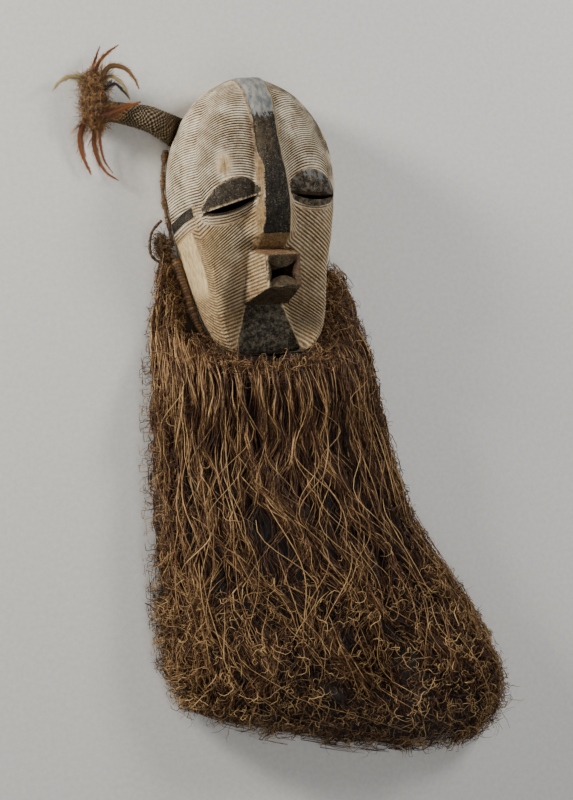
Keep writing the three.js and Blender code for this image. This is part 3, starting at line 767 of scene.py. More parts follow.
    # edges that are chipped to the wood: the lids', the crest's, the mouth block's and the chin panel's
    edge_wear = np.maximum.reduce([
        bump(above, 0.98, 0.07) * over_eye, bump(above * upper_lid(x, y), 1.3, 1.6) * over_eye * left,
        bump(ahead, half + 0.4, 1.0) * (y > NOSE_TIP_Y) * ~left,
        bump(x, MOUTH_X - MOUTH_HALF_WIDTH + 0.3, 1.4) * (np.abs(y - MOUTH_Y) < MOUTH_HALF_HEIGHT + 1),
        0.55 * bump(y, MOUTH_Y - MOUTH_HALF_HEIGHT, 1.0) * (np.abs(x - MOUTH_X) < MOUTH_HALF_WIDTH),
        bump(panel_edge(y, x) - ahead, 0.3, 1.4) * (y < -114)])
    # grey-blue patches on the black of the crest's upper part and of the right upper lid: partly rubbed wear,
    # partly a painted highlight
    rubbed_and_painted_sheen = np.maximum(ease((y - 96) / 34) * crest_edge, 0.55 * top_lid * ~left * ease((above - 0.2) / 0.5))
    outside = ~inside
    return {
        "count": number,
        "lines": (1 - plain) * seam * outside,
        "black": black * outside,
        "bare": np.maximum(bare, inside * 1.0),
        "red": red * outside,
        "tan": tan * outside,
        "inside": inside * 1.0,
        # the crown zone: partly rubbed wear, partly a painted highlight
        "crown": rubbed_and_painted_sheen,
        "brown": brown * outside,
        # cheek: darker clay below the eyes, partly dirt and partly painted shade, lessened where light is painted
        # in
        "cheek": ease((divide - y) / 24) * (1 - painted_light) * outside,
        # stains, with a painted shadow left of the crest
        "stain": np.clip(stain, 0, 1) * outside,
        "dusty": np.maximum(0.8 * panel, 0.15 * lids + 0.85 * lids * ~left + 0.2 * band) * outside,
        "rim": np.clip(edge_wear, 0, 1) * outside * on_front,
    }


def groove_cut(field, place):
    """How deep the grooves are, from 0 to about 1: a V round each whole number, worn away here and there."""
    off = np.abs(field["count"] - np.round(field["count"]))
    x, y, z = place
    worn_away = ease((ripple(6, x / 9, y / 7, z / 20) - 0.9) / 0.8)
    fade = 0.95 + 0.25 * ripple(5, x / 26, y / 17, z / 30) - 0.3 * worn_away
    return np.clip(np.clip(1 - off / 0.34, 0, 1) * field["lines"] * fade, 0, 1.1)


def crown_tuck(y, z):
    """How far the crown's wall is drawn in towards the rim.

    It is a smooth step of y times the square of the height left.
    """
    return CROWN_TUCK[0] * ease((y - 60) / 110) * (1 - np.clip(z / CROWN_TUCK[1], 0, 1)) ** 2


def front_columns():
    """The three parts of half the front, and the even fractions across each for the columns."""
    return [("inner", np.linspace(0, 1, 12)[:-1]), ("flank", np.linspace(0, 1, 6)[:-1]),
            ("cheek", np.linspace(0, 1, 34))]


def front_x(part, t, y, side):
    """The x of a column: evenly spread between the crest's edge, the foot of its flank and the ridge.

    The crest's edge gives way to the mouth block's and the chin panel's by smooth steps down the face.
    """
    mouth_side = MOUTH_HALF_WIDTH + side * MOUTH_X
    to_mouth = ease((-50 - y) / 9)
    to_panel = ease((-100 - y) / 12)
    inner = mix(mix(crest_half(y), mouth_side, to_mouth), panel_edge(y, side), to_panel)
    edge = edge_x(y)
    inner = np.minimum(inner, 0.8 * edge)
    run = np.maximum(crest_top(y) - base_height(0.0, y), 2) / flank_slope(y)
    run = mix(mix(run, 4.0, to_mouth), 3.0, to_panel)
    foot = np.minimum(inner + run, inner + 0.3 * (edge - inner))
    low, high = {"inner": (0.0, inner), "flank": (inner, foot), "cheek": (foot, edge)}[part]
    return mix(low, high, t)


def face_grid(pitch, depth):
    """The carved surface as a grid: rows follow the grooves, four to each, columns run from rim to rim.

    A row's y is its height v less its line's drop, found by repeated substitution because x depends on y in
    turn. The point is then moved in along the normal by the groove's depth and a slow ripple.
    """
    low, high = CHIN_Y + 1.69, CROWN_Y - 0.3
    fine = np.linspace(low, high, 4000)
    count = row_count(fine, pitch)
    first, last = np.ceil(count[0] * ROWS_PER_GROOVE) + 1, count[-1] * ROWS_PER_GROOVE - 1
    inner_rows = np.interp(np.arange(first, last) / ROWS_PER_GROOVE, count, fine)
    rows = np.concatenate([[low], inner_rows, [CROWN_Y - 0.9, high, CROWN_Y - 0.08]])
    v = np.unique(np.round(rows, 4))[:, None]
    calm = ease((v - low) / 60) * ease((high - v) / 12)
    halves = {}
    for side in (-1, 1):
        columns = []
        for part, fractions in front_columns():
            for t in fractions:
                y = v + 0.0
                for _ in range(6):
                    x = front_x(part, t, y, side)
                    y = v - row_drop(np.minimum(x / np.maximum(edge_x(y), 0.5), 1), v, side) * calm
                columns.append((x[:, 0], y[:, 0], front_height(side * x, y)[:, 0]))
        edge, top_y, ridge = columns.pop()
        ridge = np.minimum(ridge, ridge_height(top_y))
        columns.append((edge, top_y, ridge))
        foot = np.minimum(7.0, 0.2 * ridge)
        for w in np.concatenate([np.linspace(0, 0.22, 12)[1:], np.linspace(0.22, 1, 22)[1:]]):
            z = mix(ridge, foot, w)
            y = top_y - mix(-0.3, 0.075, ease((top_y + 60) / 110)) * (ridge - z) * calm[:, 0]
            columns.append((wall_x(y, z), y, z))
        rim, y, _ = columns[-1]
        columns.append((rim - np.minimum(5.0, 0.3 * rim), y, 0 * y))
        halves[side] = columns
    left = [(-x, y, z) for x, y, z in halves[-1]][::-1]
    right = halves[1][1:]
    grid = np.stack([np.stack(column, axis=-1) for column in left + right], axis=1)
    flat = grid.reshape(-1, 3)
    field = zones(flat[:, 0], flat[:, 1], flat[:, 2], pitch)
    normal = unit(np.cross(np.gradient(grid, axis=1), np.gradient(grid, axis=0)))
    cut = (groove_cut(field, flat.T) * depth).reshape(grid.shape[:2])
    cut[:, [0, 1, -2, -1]] = 0
    hand = 0.45 * ripple(11, grid[..., 0] / 38, grid[..., 1] / 30, grid[..., 2] / 40)
    hand = hand * ease((grid[..., 2] - 8) / 12)
    grid = grid + normal * (hand - cut)[..., None]
    grid[..., 1] -= crown_tuck(grid[..., 1], grid[..., 2])
    return grid


def hollow_rings():
    """The space behind the face: a smaller copy of its dome, no higher than the middle of the front."""
    t = np.linspace(0.012, 0.994, 60)
    y = mix(CHIN_Y, CROWN_Y, mix(t, 0.5 - 0.5 * np.cos(np.pi * t), 0.62))[:, None]
    x = edge_x(y) * np.linspace(0, 1, 16)[None, :]
    z = np.minimum(base_height(x, y), base_height(0.0, y))
    wall_z = z[:, -1:] * (1 - np.linspace(0, 1, 9)[None, 1:])
    across = np.hstack([x, wall_x(y, wall_z)])
    right = np.stack([across, y + 0 * across, np.hstack([z, wall_z])], -1)
    left = right[:, :0:-1] * [-1, 1, 1]
    rings = np.concatenate([left, right], axis=1)
    rings[..., 1] -= crown_tuck(rings[..., 1], rings[..., 2])
    return rings[:, ::-1] * HOLLOW_SCALE - [0, 0, 1]


def prism_rings(outline, low, high):
    """The rings of an upright prism: a plan outline, clockwise from above, at a low and a high level."""
    level = [np.column_stack([outline, np.full(len(outline), z)]) for z in (low, high)]
    return np.stack(level)


def slit_outline(side):
    """The plan of an eye's slit: straight along its upper edge, bowed along its lower one."""
    x0, y0, x1, y1, _, _ = EYES[side]
    u = np.linspace(0, 1, 24)
    p = mix(0.05, 0.93, u)
    x, y = mix(x0, x1, p), mix(y0, y1, p)
    upper = np.column_stack([x, y + 0.5])
    lower = np.column_stack([x, y + 0.5 - slit_bow(u)])[::-1]
    outline = np.concatenate([upper, lower])
    return outline if side > 0 else outline[::-1] * [-1, 1]


def hole_outline():
    """The mouth's hole: four points joined by parabolas that bow inwards."""
    t = np.linspace(-1, 1, 15)[:-1]
    top = np.column_stack([HOLE_HALF_WIDTH * t, HOLE_PINCH_Y + (HOLE_HALF_HEIGHT - HOLE_PINCH_Y) * t * t])
    side = np.column_stack([HOLE_PINCH_X + (HOLE_HALF_WIDTH - HOLE_PINCH_X) * t * t, -HOLE_HALF_HEIGHT * t])
    return np.concatenate([top, side, -top, -side]) + [MOUTH_X, MOUTH_Y]


def carve(piece, cutters):
    """Cuts closed shapes out of a piece, one after another, and keeps the result as its mesh."""
    tools = []
    for number, rings in enumerate(cutters):
        points, corners = capped(rings)
        tool = add_mesh(f"cutter_{number}", points, corners, piece.data.materials[0])
        tools.append(tool)
        step = piece.modifiers.new(f"cut_{number}", "BOOLEAN")
        step.operation = "DIFFERENCE"
        step.solver = "MANIFOLD"
        step.object = tool
    shown = piece.evaluated_get(bpy.context.evaluated_depsgraph_get())
    carved = bpy.data.meshes.new_from_object(shown)
    carved.name = piece.name
    piece.modifiers.clear()
    piece.data = carved
    for tool in tools:
        bpy.data.objects.remove(tool)
    if len(carved.polygons) == 0:
        raise RuntimeError(f"cutting {piece.name} left nothing")


def carved_face(pitch, depth, material):
    """The grooved shell: the grid closed underneath and at both ends, then hollowed and pierced.

    The zones are worked out again for the cut mesh, with the crown's tuck undone by repeated substitution.
    """
    points, corners = capped(face_grid(pitch, depth)[:, ::-1])
    piece = add_mesh("carved_face", points, corners, material, replaces=["wooden_face"], slot="carved_wood")
    eyes = [prism_rings(slit_outline(side), 20.0, 140.0) for side in (-1, 1)]
    carve(piece, [hollow_rings(), prism_rings(hole_outline(), 15.0, 125.0), *eyes])
    x, y, z = read_points(piece.data).T
    straight = y + 0.0
    for _ in range(5):
        straight = y + crown_tuck(straight, z)
    set_attributes(piece.data, zones(x, straight, z, pitch))
    piece.data.polygons.foreach_set("use_smooth", np.ones(len(piece.data.polygons), bool))
    piece.data.set_sharp_from_angle(angle=math.radians(48))
    return piece


# The netted tube, the tuft and the feathers

TUBE_PATH = [
    (-74, 112, 2.7), (-84, 115.5, 4), (-99, 121, 12), (-118, 129, 16.6), (-135, 134, 15.4), (-152, 138, 13.7),
    (-180, 143, 13),
]
TUFT_X, TUFT_LOW, TUFT_HIGH, TUFT_RADIUS = -188.0, 118.0, 191.0, 17.0

# width, kind and the points of its shaft
FEATHERS = {
    "feather_up_long": (6, "rust", [(-190, 176, 22), (-179, 201, 24), (-166, 213, 24), (-152, 222, 22)]),
    "feather_up_short": (5, "wine", [(-194, 176, 18), (-184, 200, 16), (-174, 222, 16)]),
    "feather_left": (7, "cream", [(-194, 176, 22), (-213, 184, 22), (-229, 179, 20), (-241, 167, 18)]),
    "feather_right_gold": (
        9, "gold", [(-184, 176, 30), (-167, 194, 30), (-148, 191, 29), (-137, 178, 28), (-132, 166, 27)]),
    "feather_right_cream": (
        6, "cream", [(-182, 170, 26), (-168, 182, 27), (-154, 172, 30), (-149, 158, 32), (-146, 146, 32)]),
    "feather_right_dark": (5, "dark", [(-178, 164, 30), (-164, 172, 31), (-154, 161, 33), (-148, 152, 35)]),
    "feather_on_tube": (10, "rust", [(-190, 132, 34), (-169, 137, 34), (-150, 143, 33), (-134, 148, 33)]),
    "feather_down_left": (10, "rust", [(-199, 136, 16), (-209, 112, 14), (-208, 90, 12), (-199, 64, 10)]),
    "feather_down_long": (
        8, "rust", [(-188, 128, 18), (-193, 104, 16), (-189, 82, 14), (-179, 65, 12), (-165, 55, 12)]),
    "feather_down_inner": (5, "rust", [(-184, 130, 24), (-187, 101, 22), (-183, 79, 20), (-173, 63, 18)]),
}

# colours at the base, at the tip and along the fringe of each kind of feather
FEATHER_SHADES = {
    "rust": ("452105", "9C5411", "D89A48"),
    "wine": ("3A1205", "823410", "B0652E"),
    "gold": ("452A0A", "9A6A22", "D6AC60"),
    "cream": ("7A6238", "C2B07C", "E8DDB6"),
    "dark": ("140C07", "2E1D11", "5A4128"),
}


def netted_tube(pitch, material):
    """Knotted netting over a stuffed tube, flattened where it slips under the rim.

    Two families of cords wind round it in opposite directions. The surface stands out along each cord and
    more at each knot. The number of cords is even, and the radius about 14 mm.
    """
    rows, around = 170, 120
    path = smooth_path(TUBE_PATH, rows)
    t = np.linspace(0, 1, rows)
    opened = ease((t - 0.04) / 0.36)
    round_radius = mix(16.4, 12.5, ease((t - 0.3) / 0.6))
    width = mix(20.0, round_radius, opened)[:, None]
    height = np.minimum(mix(2.2, round_radius, opened), path[:, 2] - 0.9)[:, None]
    run = np.concatenate([[0], np.cumsum(np.linalg.norm(np.diff(path, axis=0), axis=1))])[:, None]
    turns = 2 * round(2 * math.pi * 14 / pitch / 1.35)
    u = (np.arange(around) / around * turns)[None, :]
    v = run / pitch + 0.3 * ripple(3, u / 5, run / 16)
    u = u + 0.25 * ripple(2, u / 5, run / 12)
    one, other = (np.abs((k + 0.5) % 1 - 0.5) for k in (u * 0.5 + v, u * 0.5 - v))
    cord = np.maximum(ease((0.31 - one) / 0.2), ease((0.31 - other) / 0.2))
    knot = ease((0.34 - one) / 0.22) * ease((0.34 - other) / 0.22)
    relief = 0.9 * cord + 0.9 * knot - 1.1
    relief = relief * ease((height - 1.5) / 4) + 0.25 * ripple(4, u / 3, run / 9)
    rings = outward_rings(path, width + relief, height + relief, around)
    points, corners = capped(keep_over_floor(rings, 0.3))
    values = {name: np.append(field.ravel(), [0, 0]) for name, field in (("cord", cord), ("knot", knot))}
    return add_mesh("netted_tube_knots", points, corners, material, values, ["netted_tube"], "netting")


def feather_tuft(material):
    """A matted core in the solid's shape, and short curled wisps that stand out from it all over.

    The core's radius is a power of a sine along it, times ripples round it.
    """
    rows, around = 40, 44
    t = np.linspace(0, 1, rows)
    y = mix(TUFT_LOW, TUFT_HIGH, t)
    swell = TUFT_RADIUS * (0.28 + 0.72 * np.sin(np.pi * mix(0.04, 0.96, t)) ** 0.7)
    path = np.column_stack([np.full(rows, TUFT_X), y, np.full(rows, TUFT_RADIUS + 0.4)])
    angle = even_angles(around)
    lump = 1 + 0.09 * np.sin(3 * angle + 9 * t[:, None]) + 0.16 * ripple(8, np.cos(angle) * 1.6, y[:, None] / 9)
    rings = outward_rings(path, swell[:, None] * lump * 0.86, swell[:, None] * lump * 0.92, around)
    points, corners = capped(keep_over_floor(rings, 0.4))
    tone = 0.1 + 0.3 * ripple(9, points[:, 0] / 6, points[:, 1] / 6, points[:, 2] / 6)
    add_mesh("tuft_core", points, corners, material, {"tone": tone}, ["feather_tuft"], "down")

    rng = np.random.default_rng(21)
    count = 1900
    j = rng.integers(1, rows - 1, count)
    k = rng.integers(0, around, count)
    root = rings[j, k]
    out = unit(root - path[j])
    heading = out * 0.6 + thrown(rng, count, (0, 0.4), (0, 0.8), (0, 0.4))
    paths = curls(rng, root, heading, 6, rng.uniform(7, 20, count), 2.0, 0.2)
    add_strands("tuft_wisps", paths, rng.uniform(0.14, 0.38, count), 0.5, 5, rng.beta(1.6, 1.9, count),
                material, "feather_tuft", "down")


def feather(name, width, points, material, seed):
    """A shaft, a narrow closed blade on it, and barbs that reach past the blade.

    The blade's half width is a power of a sine along the shaft, and its thickness a bell across. Each barb
    leaves the shaft at a slant, bends to the tip and droops, by squares of the distance along it.
    """
    rows, across = 60, 7
    path = smooth_path(points, rows)
    t = np.linspace(0, 1, rows)
    along = unit(np.gradient(path, axis=0))
    side = unit(np.cross([0.0, 0.0, 1.0], along))
    rng = np.random.default_rng(seed)
    half = width * (0.12 + 0.88 * np.sin(np.pi * mix(0.14, 0.98, t ** 0.62)) ** 0.9) * 0.6
    u = np.linspace(-1, 1, across)
    thick = 0.12 + (0.5 - 0.35 * t[:, None]) * np.exp(-((u / 0.3) ** 2))
    middle = path[:, None, :] + side[:, None, :] * (0.62 * half[:, None] * u)[..., None]
    middle[..., 2] -= 0.16 * half[:, None] * u ** 2
    top, under = middle + [0, 0, 1] * thick[..., None], middle - [0, 0, 1] * thick[..., None]
    blade = capped(np.concatenate([top, under[:, ::-1]], axis=1))
    blade_edge = 0.62 * np.abs(np.concatenate([u, u[::-1]]))[None, :] + 0 * t[:, None]
    blade_along = np.append(np.repeat(t, 2 * across), [0, 1])

    count, steps = 170, 4
    spot = rng.uniform(0.02, 1, count) ** 1.25
    root, ahead, out = (
        np.stack([np.interp(spot, t, a[:, k]) for k in range(3)], axis=1)[:, None] for a in (path, along, side))
    hand = rng.choice([-1.0, 1.0], (count, 1))[:, None]
    fluff = 1 + 1.1 * ease((0.4 - spot) / 0.4)[:, None]
    length = np.interp(spot, t, half)[:, None] * rng.uniform(0.75, 1.5, (count, 1)) * fluff
    k = np.linspace(0, 1, steps)[None, :, None]
    slant = rng.uniform(0.5, 1.0, (count, 1, 1))
    reach = length[:, None]
    barbs = root + hand * out * reach * k * (1 - 0.2 * k) + ahead * reach * slant * (k + 0.9 * k ** 2)
    barbs[..., 2] += (0.2 - 0.3 * length * k[..., 0] ** 2) + rng.normal(0, 0.25, (count, 1))
    barbs = fibres(keep_over_floor(barbs), rng.uniform(0.2, 0.36, count), 0.4, seed)
    barb_edge = spread(np.repeat(k[..., 0], count, axis=0), steps)
    values = {
        "edge": np.concatenate([blade_edge.ravel(), [0, 0], barb_edge]),
        "along": np.concatenate([blade_along, spread(spot, steps)]),
    }
    return add_mesh(f"{name}_vane", *joined([blade, barbs]), material, values, [name])


# Cords on the rim

ROPE_RADIUS, ROPE_FLOOR = 6.5, 7.4
ROPE_YS = (-46.0, -70, -95, -120, -142, -160)
ROPE_LENGTH, ROPE_TURN = 470, 4.6
LOOP_PATH = [
    (-112, 3, 7), (-121, -4, 10), (-128, -12, 12), (-132, -25, 13), (-132, -38, 12), (-127, -45, 10),
    (-120, -49, 8),
]


def rim_point(y, side, offset, z):
    """Points at one height outside the rim: as far out as the wall 7 mm higher up, and the offset more."""
    y = np.asarray(y, float)
    return np.column_stack([side * (wall_x(y, z + 7.0) + offset), y, np.full(y.shape, z)])


def rope_path(count):
    """The rope's middle: beside the left wall, under the chin on a shallow parabola, beside the right wall."""
    left = rim_point(ROPE_YS, -1, ROPE_RADIUS + 1.4, ROPE_FLOOR)
    right = rim_point(ROPE_YS[::-1], 1, ROPE_RADIUS + 1.4, ROPE_FLOOR)
    x = np.array([-36.0, 0.0, 36.0])
    under = np.column_stack([x, CHIN_Y - ROPE_RADIUS - 3.5 + 0.004 * x * x, np.full(3, ROPE_FLOOR)])
    return smooth_path(np.concatenate([left, under, right]), count)


def rope_outside(y):
    """How far from the middle the rope's outer side lies: the wall 14 mm up, and the rope's thickness more."""
    return wall_x(y, 14.0) + 2 * ROPE_RADIUS


def collar_rope(material):
    """A core wound close with fibre: each turn is a rounded rib that leans along the rope.

    A rib is a power of a sine of the turns so far, which ripple a little.
    """
    rows, around = 600, 10
    path = rope_path(rows)
    run = np.linspace(0, ROPE_LENGTH, rows)[:, None]
    angle = even_angles(around)
    turn = run / ROPE_TURN + 0.16 * np.sin(angle) + 0.1 * ripple(31, run / 20, np.cos(angle), np.sin(angle))
    rib = np.abs(np.sin(np.pi * turn)) ** 0.6
    lump = 0.35 * ripple(32, run / 16, np.cos(angle), np.sin(angle))
    radius = ROPE_RADIUS - 1.0 + rib + lump
    points, corners = capped(outward_rings(path, radius, radius, around))
    # painted shade: the tone drops in the hollows between the turns
    tone = 0.5 + 0.17 * ripple(33, np.floor(turn) * 1.7, 0.3 * np.cos(angle)) - 0.35 * (1 - rib)
    values = {"tone": np.append(tone.ravel(), [0.3, 0.3])}
    return add_mesh("collar_rope_windings", points, corners, material, values, ["collar_rope"], "bark_cord")


def rim_cord(material):
    """The bark cord along the left rim: a rough round section, thicker by a bell at each of its knots."""
    around = 12
    y = np.linspace(92, -29, 200)
    swell = 1 + 1.3 * bump(y, 84, 6) + 1.3 * bump(y, 25, 6) + 0.5 * bump(y, 55, 8) + 0.5 * bump(y, 0, 7)
    angle = even_angles(around)
    rough = 1 + 0.22 * ripple(42, y[:, None] / 5, 2 * np.cos(angle), 2 * np.sin(angle))
    radius = 1.9 * swell[:, None] * rough
    points, corners = capped(outward_rings(rim_point(y, -1, 2.8, 3.0), radius, np.minimum(radius, 2.6), around))
    tone = 0.4 + 0.3 * ripple(43, points[:, 1] / 3, points[:, 2])
    add_mesh("rim_cord_bark", points, corners, material, {"tone": tone}, ["rim_cord"], "bark_cord")


def bark_loop(material):
    """The strip of bark that stands off the temple: a flat rough ellipse carried along the loop's curve."""
    rows, around = 90, 10
    angle = 2 * np.pi * np.arange(around)[None, :] / 12
    rough = 1 + 0.25 * ripple(44, np.linspace(0, 1, rows)[:, None] * 9, np.cos(angle), np.sin(angle))
    points, corners = capped(outward_rings(smooth_path(LOOP_PATH, rows), 1.7 * rough, 1.2 * rough, around))
    tone = 0.3 + 0.25 * ripple(45, points[:, 0] / 4, points[:, 1] / 4)
    add_mesh("bark_loop_strip", points, corners, material, {"tone": tone}, ["bark_loop"], "bark_cord")


def wad_and_fray(material):
    """The wad of curls caught by the loop, and short ends that fray the rim's cord.

    The curls start in two ellipsoids, one at the loop and a smaller one at the rope.
    """
    rng = np.random.default_rng(41)
    count, steps = 600, 7
    way = unit(rng.normal(size=(count, 3)))
    by_rope = (rng.random(count) < 0.3)[:, None]
    centre = np.where(by_rope, [-107.5, -40.0, 6.0], [-115.5, -29.0, 7.5])
    reach = np.where(by_rope, [5.0, 9.0, 5.0], [8.5, 17.0, 5.5])
    start = centre + way * reach * rng.uniform(0.5, 1, (count, 1))
    heading = rng.normal(size=(count, 3)) * [0.5, 1.3, 0.5]
    paths = curls(rng, start, heading, steps, rng.uniform(7, 17, count), 2.4)
    add_strands("wad_fibres", paths, rng.uniform(0.25, 0.65, count), 0.6, 6, rng.uniform(0.15, 0.8, count),
                material, "fibre_wad", "raffia")

    count = 110
    spot = rng.uniform(0, 1, count)
    start = rim_point(mix(96, -29, spot), -1, 3.0, 3.5) + rng.normal(0, 1.0, (count, 3))
    heading = thrown(rng, count, (-0.35, 0.5), (0, 1), (0.1, 0.4))
    paths = curls(rng, start, heading, steps, rng.uniform(3, 9, count), 2.4)
    add_strands("rim_cord_fray", paths, rng.uniform(0.25, 0.55, count), 0.6, 7, rng.uniform(0.2, 0.9, count),
                material, "rim_cord", "bark_cord")


# The raffia

BEARD_TOP_Y, BEARD_HEM_Y, HEM_START_Y = -32.0, -690.0, -536.0
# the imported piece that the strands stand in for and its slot
BEARD = ("raffia_beard", "raffia")
# the power of the superellipse across the beard, and the lowest y at which the rope shows on the left
MOUND_POWER = 2.7
ROPE_SEEN_Y = -142
# middle x and y of each roll of the hem, how high it stands and how far it reaches; a negative height is a dip
ROLLS = ((-50, -578, 22, 52), (212, -590, 24, 58), (150, -652, 14, 42), (95, -590, -22, 34), (30, -620, 8, 30))


def beard_sides(y):
    """The x of the left and right sides that the strands hang between, as if the hem never turned in.

    The left one runs straight down by an exponential. The right one leaves the jaw by an exponential and fans
    out by a power of the distance below the chin.
    """
    flare = 117 * (np.maximum(-200 - y, 0) / 420) ** 1.6 + 30 * ease((-390 - y) / 140)
    left = -113 - 59 * (1 - np.exp(-np.maximum(-40 - y, 0) / 140))
    right = 151 - 52 * np.exp(-np.maximum(-60 - y, 0) / 45) + flare
    return left, right


def beard_edges(y):
    """The middle and the half width of the beard: its sides, turned in at the bottom.

    The left corner is a power curve along a slanted hem, and the right one ends like a superellipse.
    """
    left, right = beard_sides(y)
    hem = np.clip((HEM_START_Y - y) / (HEM_START_Y - BEARD_HEM_Y), 0, 1)
    left = left + 25 * ease(hem / 0.4) + 310 * (np.maximum(hem - 0.4, 0) / 0.6) ** 1.35
    right = right - 140 * (1 - arc(np.maximum(-575 - y, 0) / 115, 2.2))
    return 0.5 * (left + right), 0.5 * (right - left)


def beard_crown(x, y):
    """How high the beard would stand without its rounding over at the sides: low beside the face, then a ruff.

    Two bells and smooth steps down its length, and a bell for each roll of the hem. Left of the face it climbs
    at an even slope from the rope, which stays in sight there.
    """
    ruff = mix(26, 66, ease((-125 - y) / 75)) + 16 * bump(y, -225, 50) + 20 * ease((-230 - y) / 220)
    beside = np.maximum(np.abs(x) - widest(np.maximum(y, CHIN_Y + 8)), 0)
    low = mix(mix(9.0, 24.0, ease((-95 - y) / 40)), ruff, ease((-138 - y) / 34))
    hem = np.clip((HEM_START_Y - y) / (HEM_START_Y - BEARD_HEM_Y), 0, 1)
    rolls = sum(rise * np.exp(-((x - rx) ** 2 + (y - ry) ** 2) / reach ** 2) for rx, ry, rise, reach in ROLLS)
    crown = mix(low, ruff, ease(beside / 38)) * arc(0.98 * hem, 2.6) + rolls * arc(0.98 * hem, 2)
    return np.where((x < 0) & (y > ROPE_SEEN_Y), np.minimum(crown, rope_slope(x, y)), crown)


def rope_slope(x, y):
    """The height that lets the rope be seen: 6 mm beside it, and 0.75 mm more for each millimetre away."""
    return 6 + 0.75 * np.maximum(np.abs(x) - rope_outside(np.maximum(y, CHIN_Y + 3)), 0)


def beard_point(angle, y, depth):
    """A point of the beard: angle is 0 at the top of a cross-section, a quarter turn where it meets the ground.

    The cross-section is a superellipse, and the point lies inside it by the depth.
    """
    middle, half = beard_edges(y)
    return on_mound(middle, half, np.sin(angle), y, depth)


def on_mound(middle, half, p, y, depth):
    """The point at p half widths from the middle, at the superellipse's height there, less the depth."""
    rounding = arc(p, MOUND_POWER)
    x = middle + (half - depth) * p
    return np.stack([x, y + 0 * x, np.maximum((beard_crown(x, y) - depth) * rounding, 0.6)], axis=-1)


def hanging_point(angle, y, depth):
    """The same for a strand that hangs: its place between the sides is kept where the hem turns in.

    The second result is how many half widths it lies from the middle, which is past 1 outside the beard.
    """
    left, right = beard_sides(y)
    middle, half = beard_edges(y)
    x = 0.5 * (left + right) + 0.5 * (right - left) * np.sin(angle)
    p = (x - middle) / np.maximum(half, 1)
    return on_mound(middle, half, np.clip(p, -1, 1), y, depth), np.abs(p)


def raffia_core(material):
    """The packed middle of the beard, painted nearly black as the shade among the strands: one mound below the
    chin and a wing on each side of the face.

    The mound is the beard's own cross-section less a depth, which grows towards the hem and ripples like locks.
    A wing is a superellipse from the rope to the beard's side.
    """
    y = np.linspace(CHIN_Y - 11, BEARD_HEM_Y + 13, 100)[:, None]
    angle = np.linspace(-1.56, 1.56, 76)[None, :]
    deep = 10.5 + 9 * ease((-600 - y) / 70)
    deep = deep + 2.0 * ripple(51, angle * 9, y / 70) + 1.4 * ripple(52, angle * 30, y / 30)
    parts = [capped(beard_point(angle, y, deep)[:, ::-1])]
    y = np.linspace(BEARD_TOP_Y - 30, CHIN_Y - 10, 30)[:, None]
    t = np.linspace(0, 1, 12)[None, :]
    for side in (-1, 1):
        middle, half = beard_edges(y)
        outer = np.abs(middle + side * half) - 7
        x = mix(np.minimum(rope_outside(y) + 3, outer - 1), outer, t)
        z = np.maximum(beard_crown(x, y) * arc(t, 2.6) - 9, 0.6)
        top, foot = (np.stack([side * x, y + 0 * x, height], axis=-1) for height in (z, 0 * x + 0.4))
        ring = np.concatenate([top, foot[:, ::-1]], axis=1)
        parts.append(capped(ring if side > 0 else ring[:, ::-1]))
    points, corners = joined(parts)
    # painted shade: the core's low tone paints it nearly black, as the shade deep among the strands
    tone = -0.12 + 0.12 * ripple(53, points[:, 0] / 5, points[:, 1] / 40)
    return add_mesh("raffia_core", points, corners, material, {"tone": tone}, ["raffia_beard"], "raffia")


def off_the_rope(paths, gap=2.0):
    """Paths beside the jaw, pushed out sideways until they clear the face's wall and rope, and kept low."""
    x, y = paths[..., 0], paths[..., 1]
    clear = rope_outside(np.maximum(y, CHIN_Y + 3)) + gap
    beside = (y > -146) & (np.abs(x) < clear)
    paths[..., 0] = np.where(beside, np.where(x < 0, -clear, clear), x)
    low = np.minimum(paths[..., 2], rope_slope(paths[..., 0], y) + 2)
    paths[..., 2] = np.where((x < 0) & (y > ROPE_SEEN_Y), low, paths[..., 2])
    return paths


def first_clear_y(angle):
    """How far down a strand at this angle has to start, to lie outside the face and its rope."""
    y = np.linspace(BEARD_TOP_Y - 6, CHIN_Y - 12, 90)
    x = beard_point(angle[:, None], y[None, :], 3.0)[..., 0]
    blocked = (np.abs(x) <= rope_outside(y) + 2) & (y >= CHIN_Y - 8)
    last = np.where(blocked.any(axis=1), len(y) - 1 - np.argmax(blocked[:, ::-1], axis=1), 0)
    return y[np.minimum(last + 1, len(y) - 1)]


def swayed(angle, y, t, phase, pace, stray):
    """The angle of a hanging strand at the height y, its share t of the way down.

    Strands near one another share two slow waves, sums of sines of place, so that they gather into locks with
    gaps between. Each one also has a quicker sine wave of its own, and strays by a power of t.
    """
    fall = ease((-200 - y) / 130)
    shared = 0.085 * ripple(61, angle * 4.2, y / 105)
    shared = shared + 0.05 * ripple(62, angle * 10, y / 58)
    own = 0.016 * np.sin(y / pace * 2 + phase) + stray * t ** 1.5
    return np.clip(angle + shared * mix(0.3, 1.0, fall) + own * mix(0.6, 1.0, fall), -1.56, 1.56)


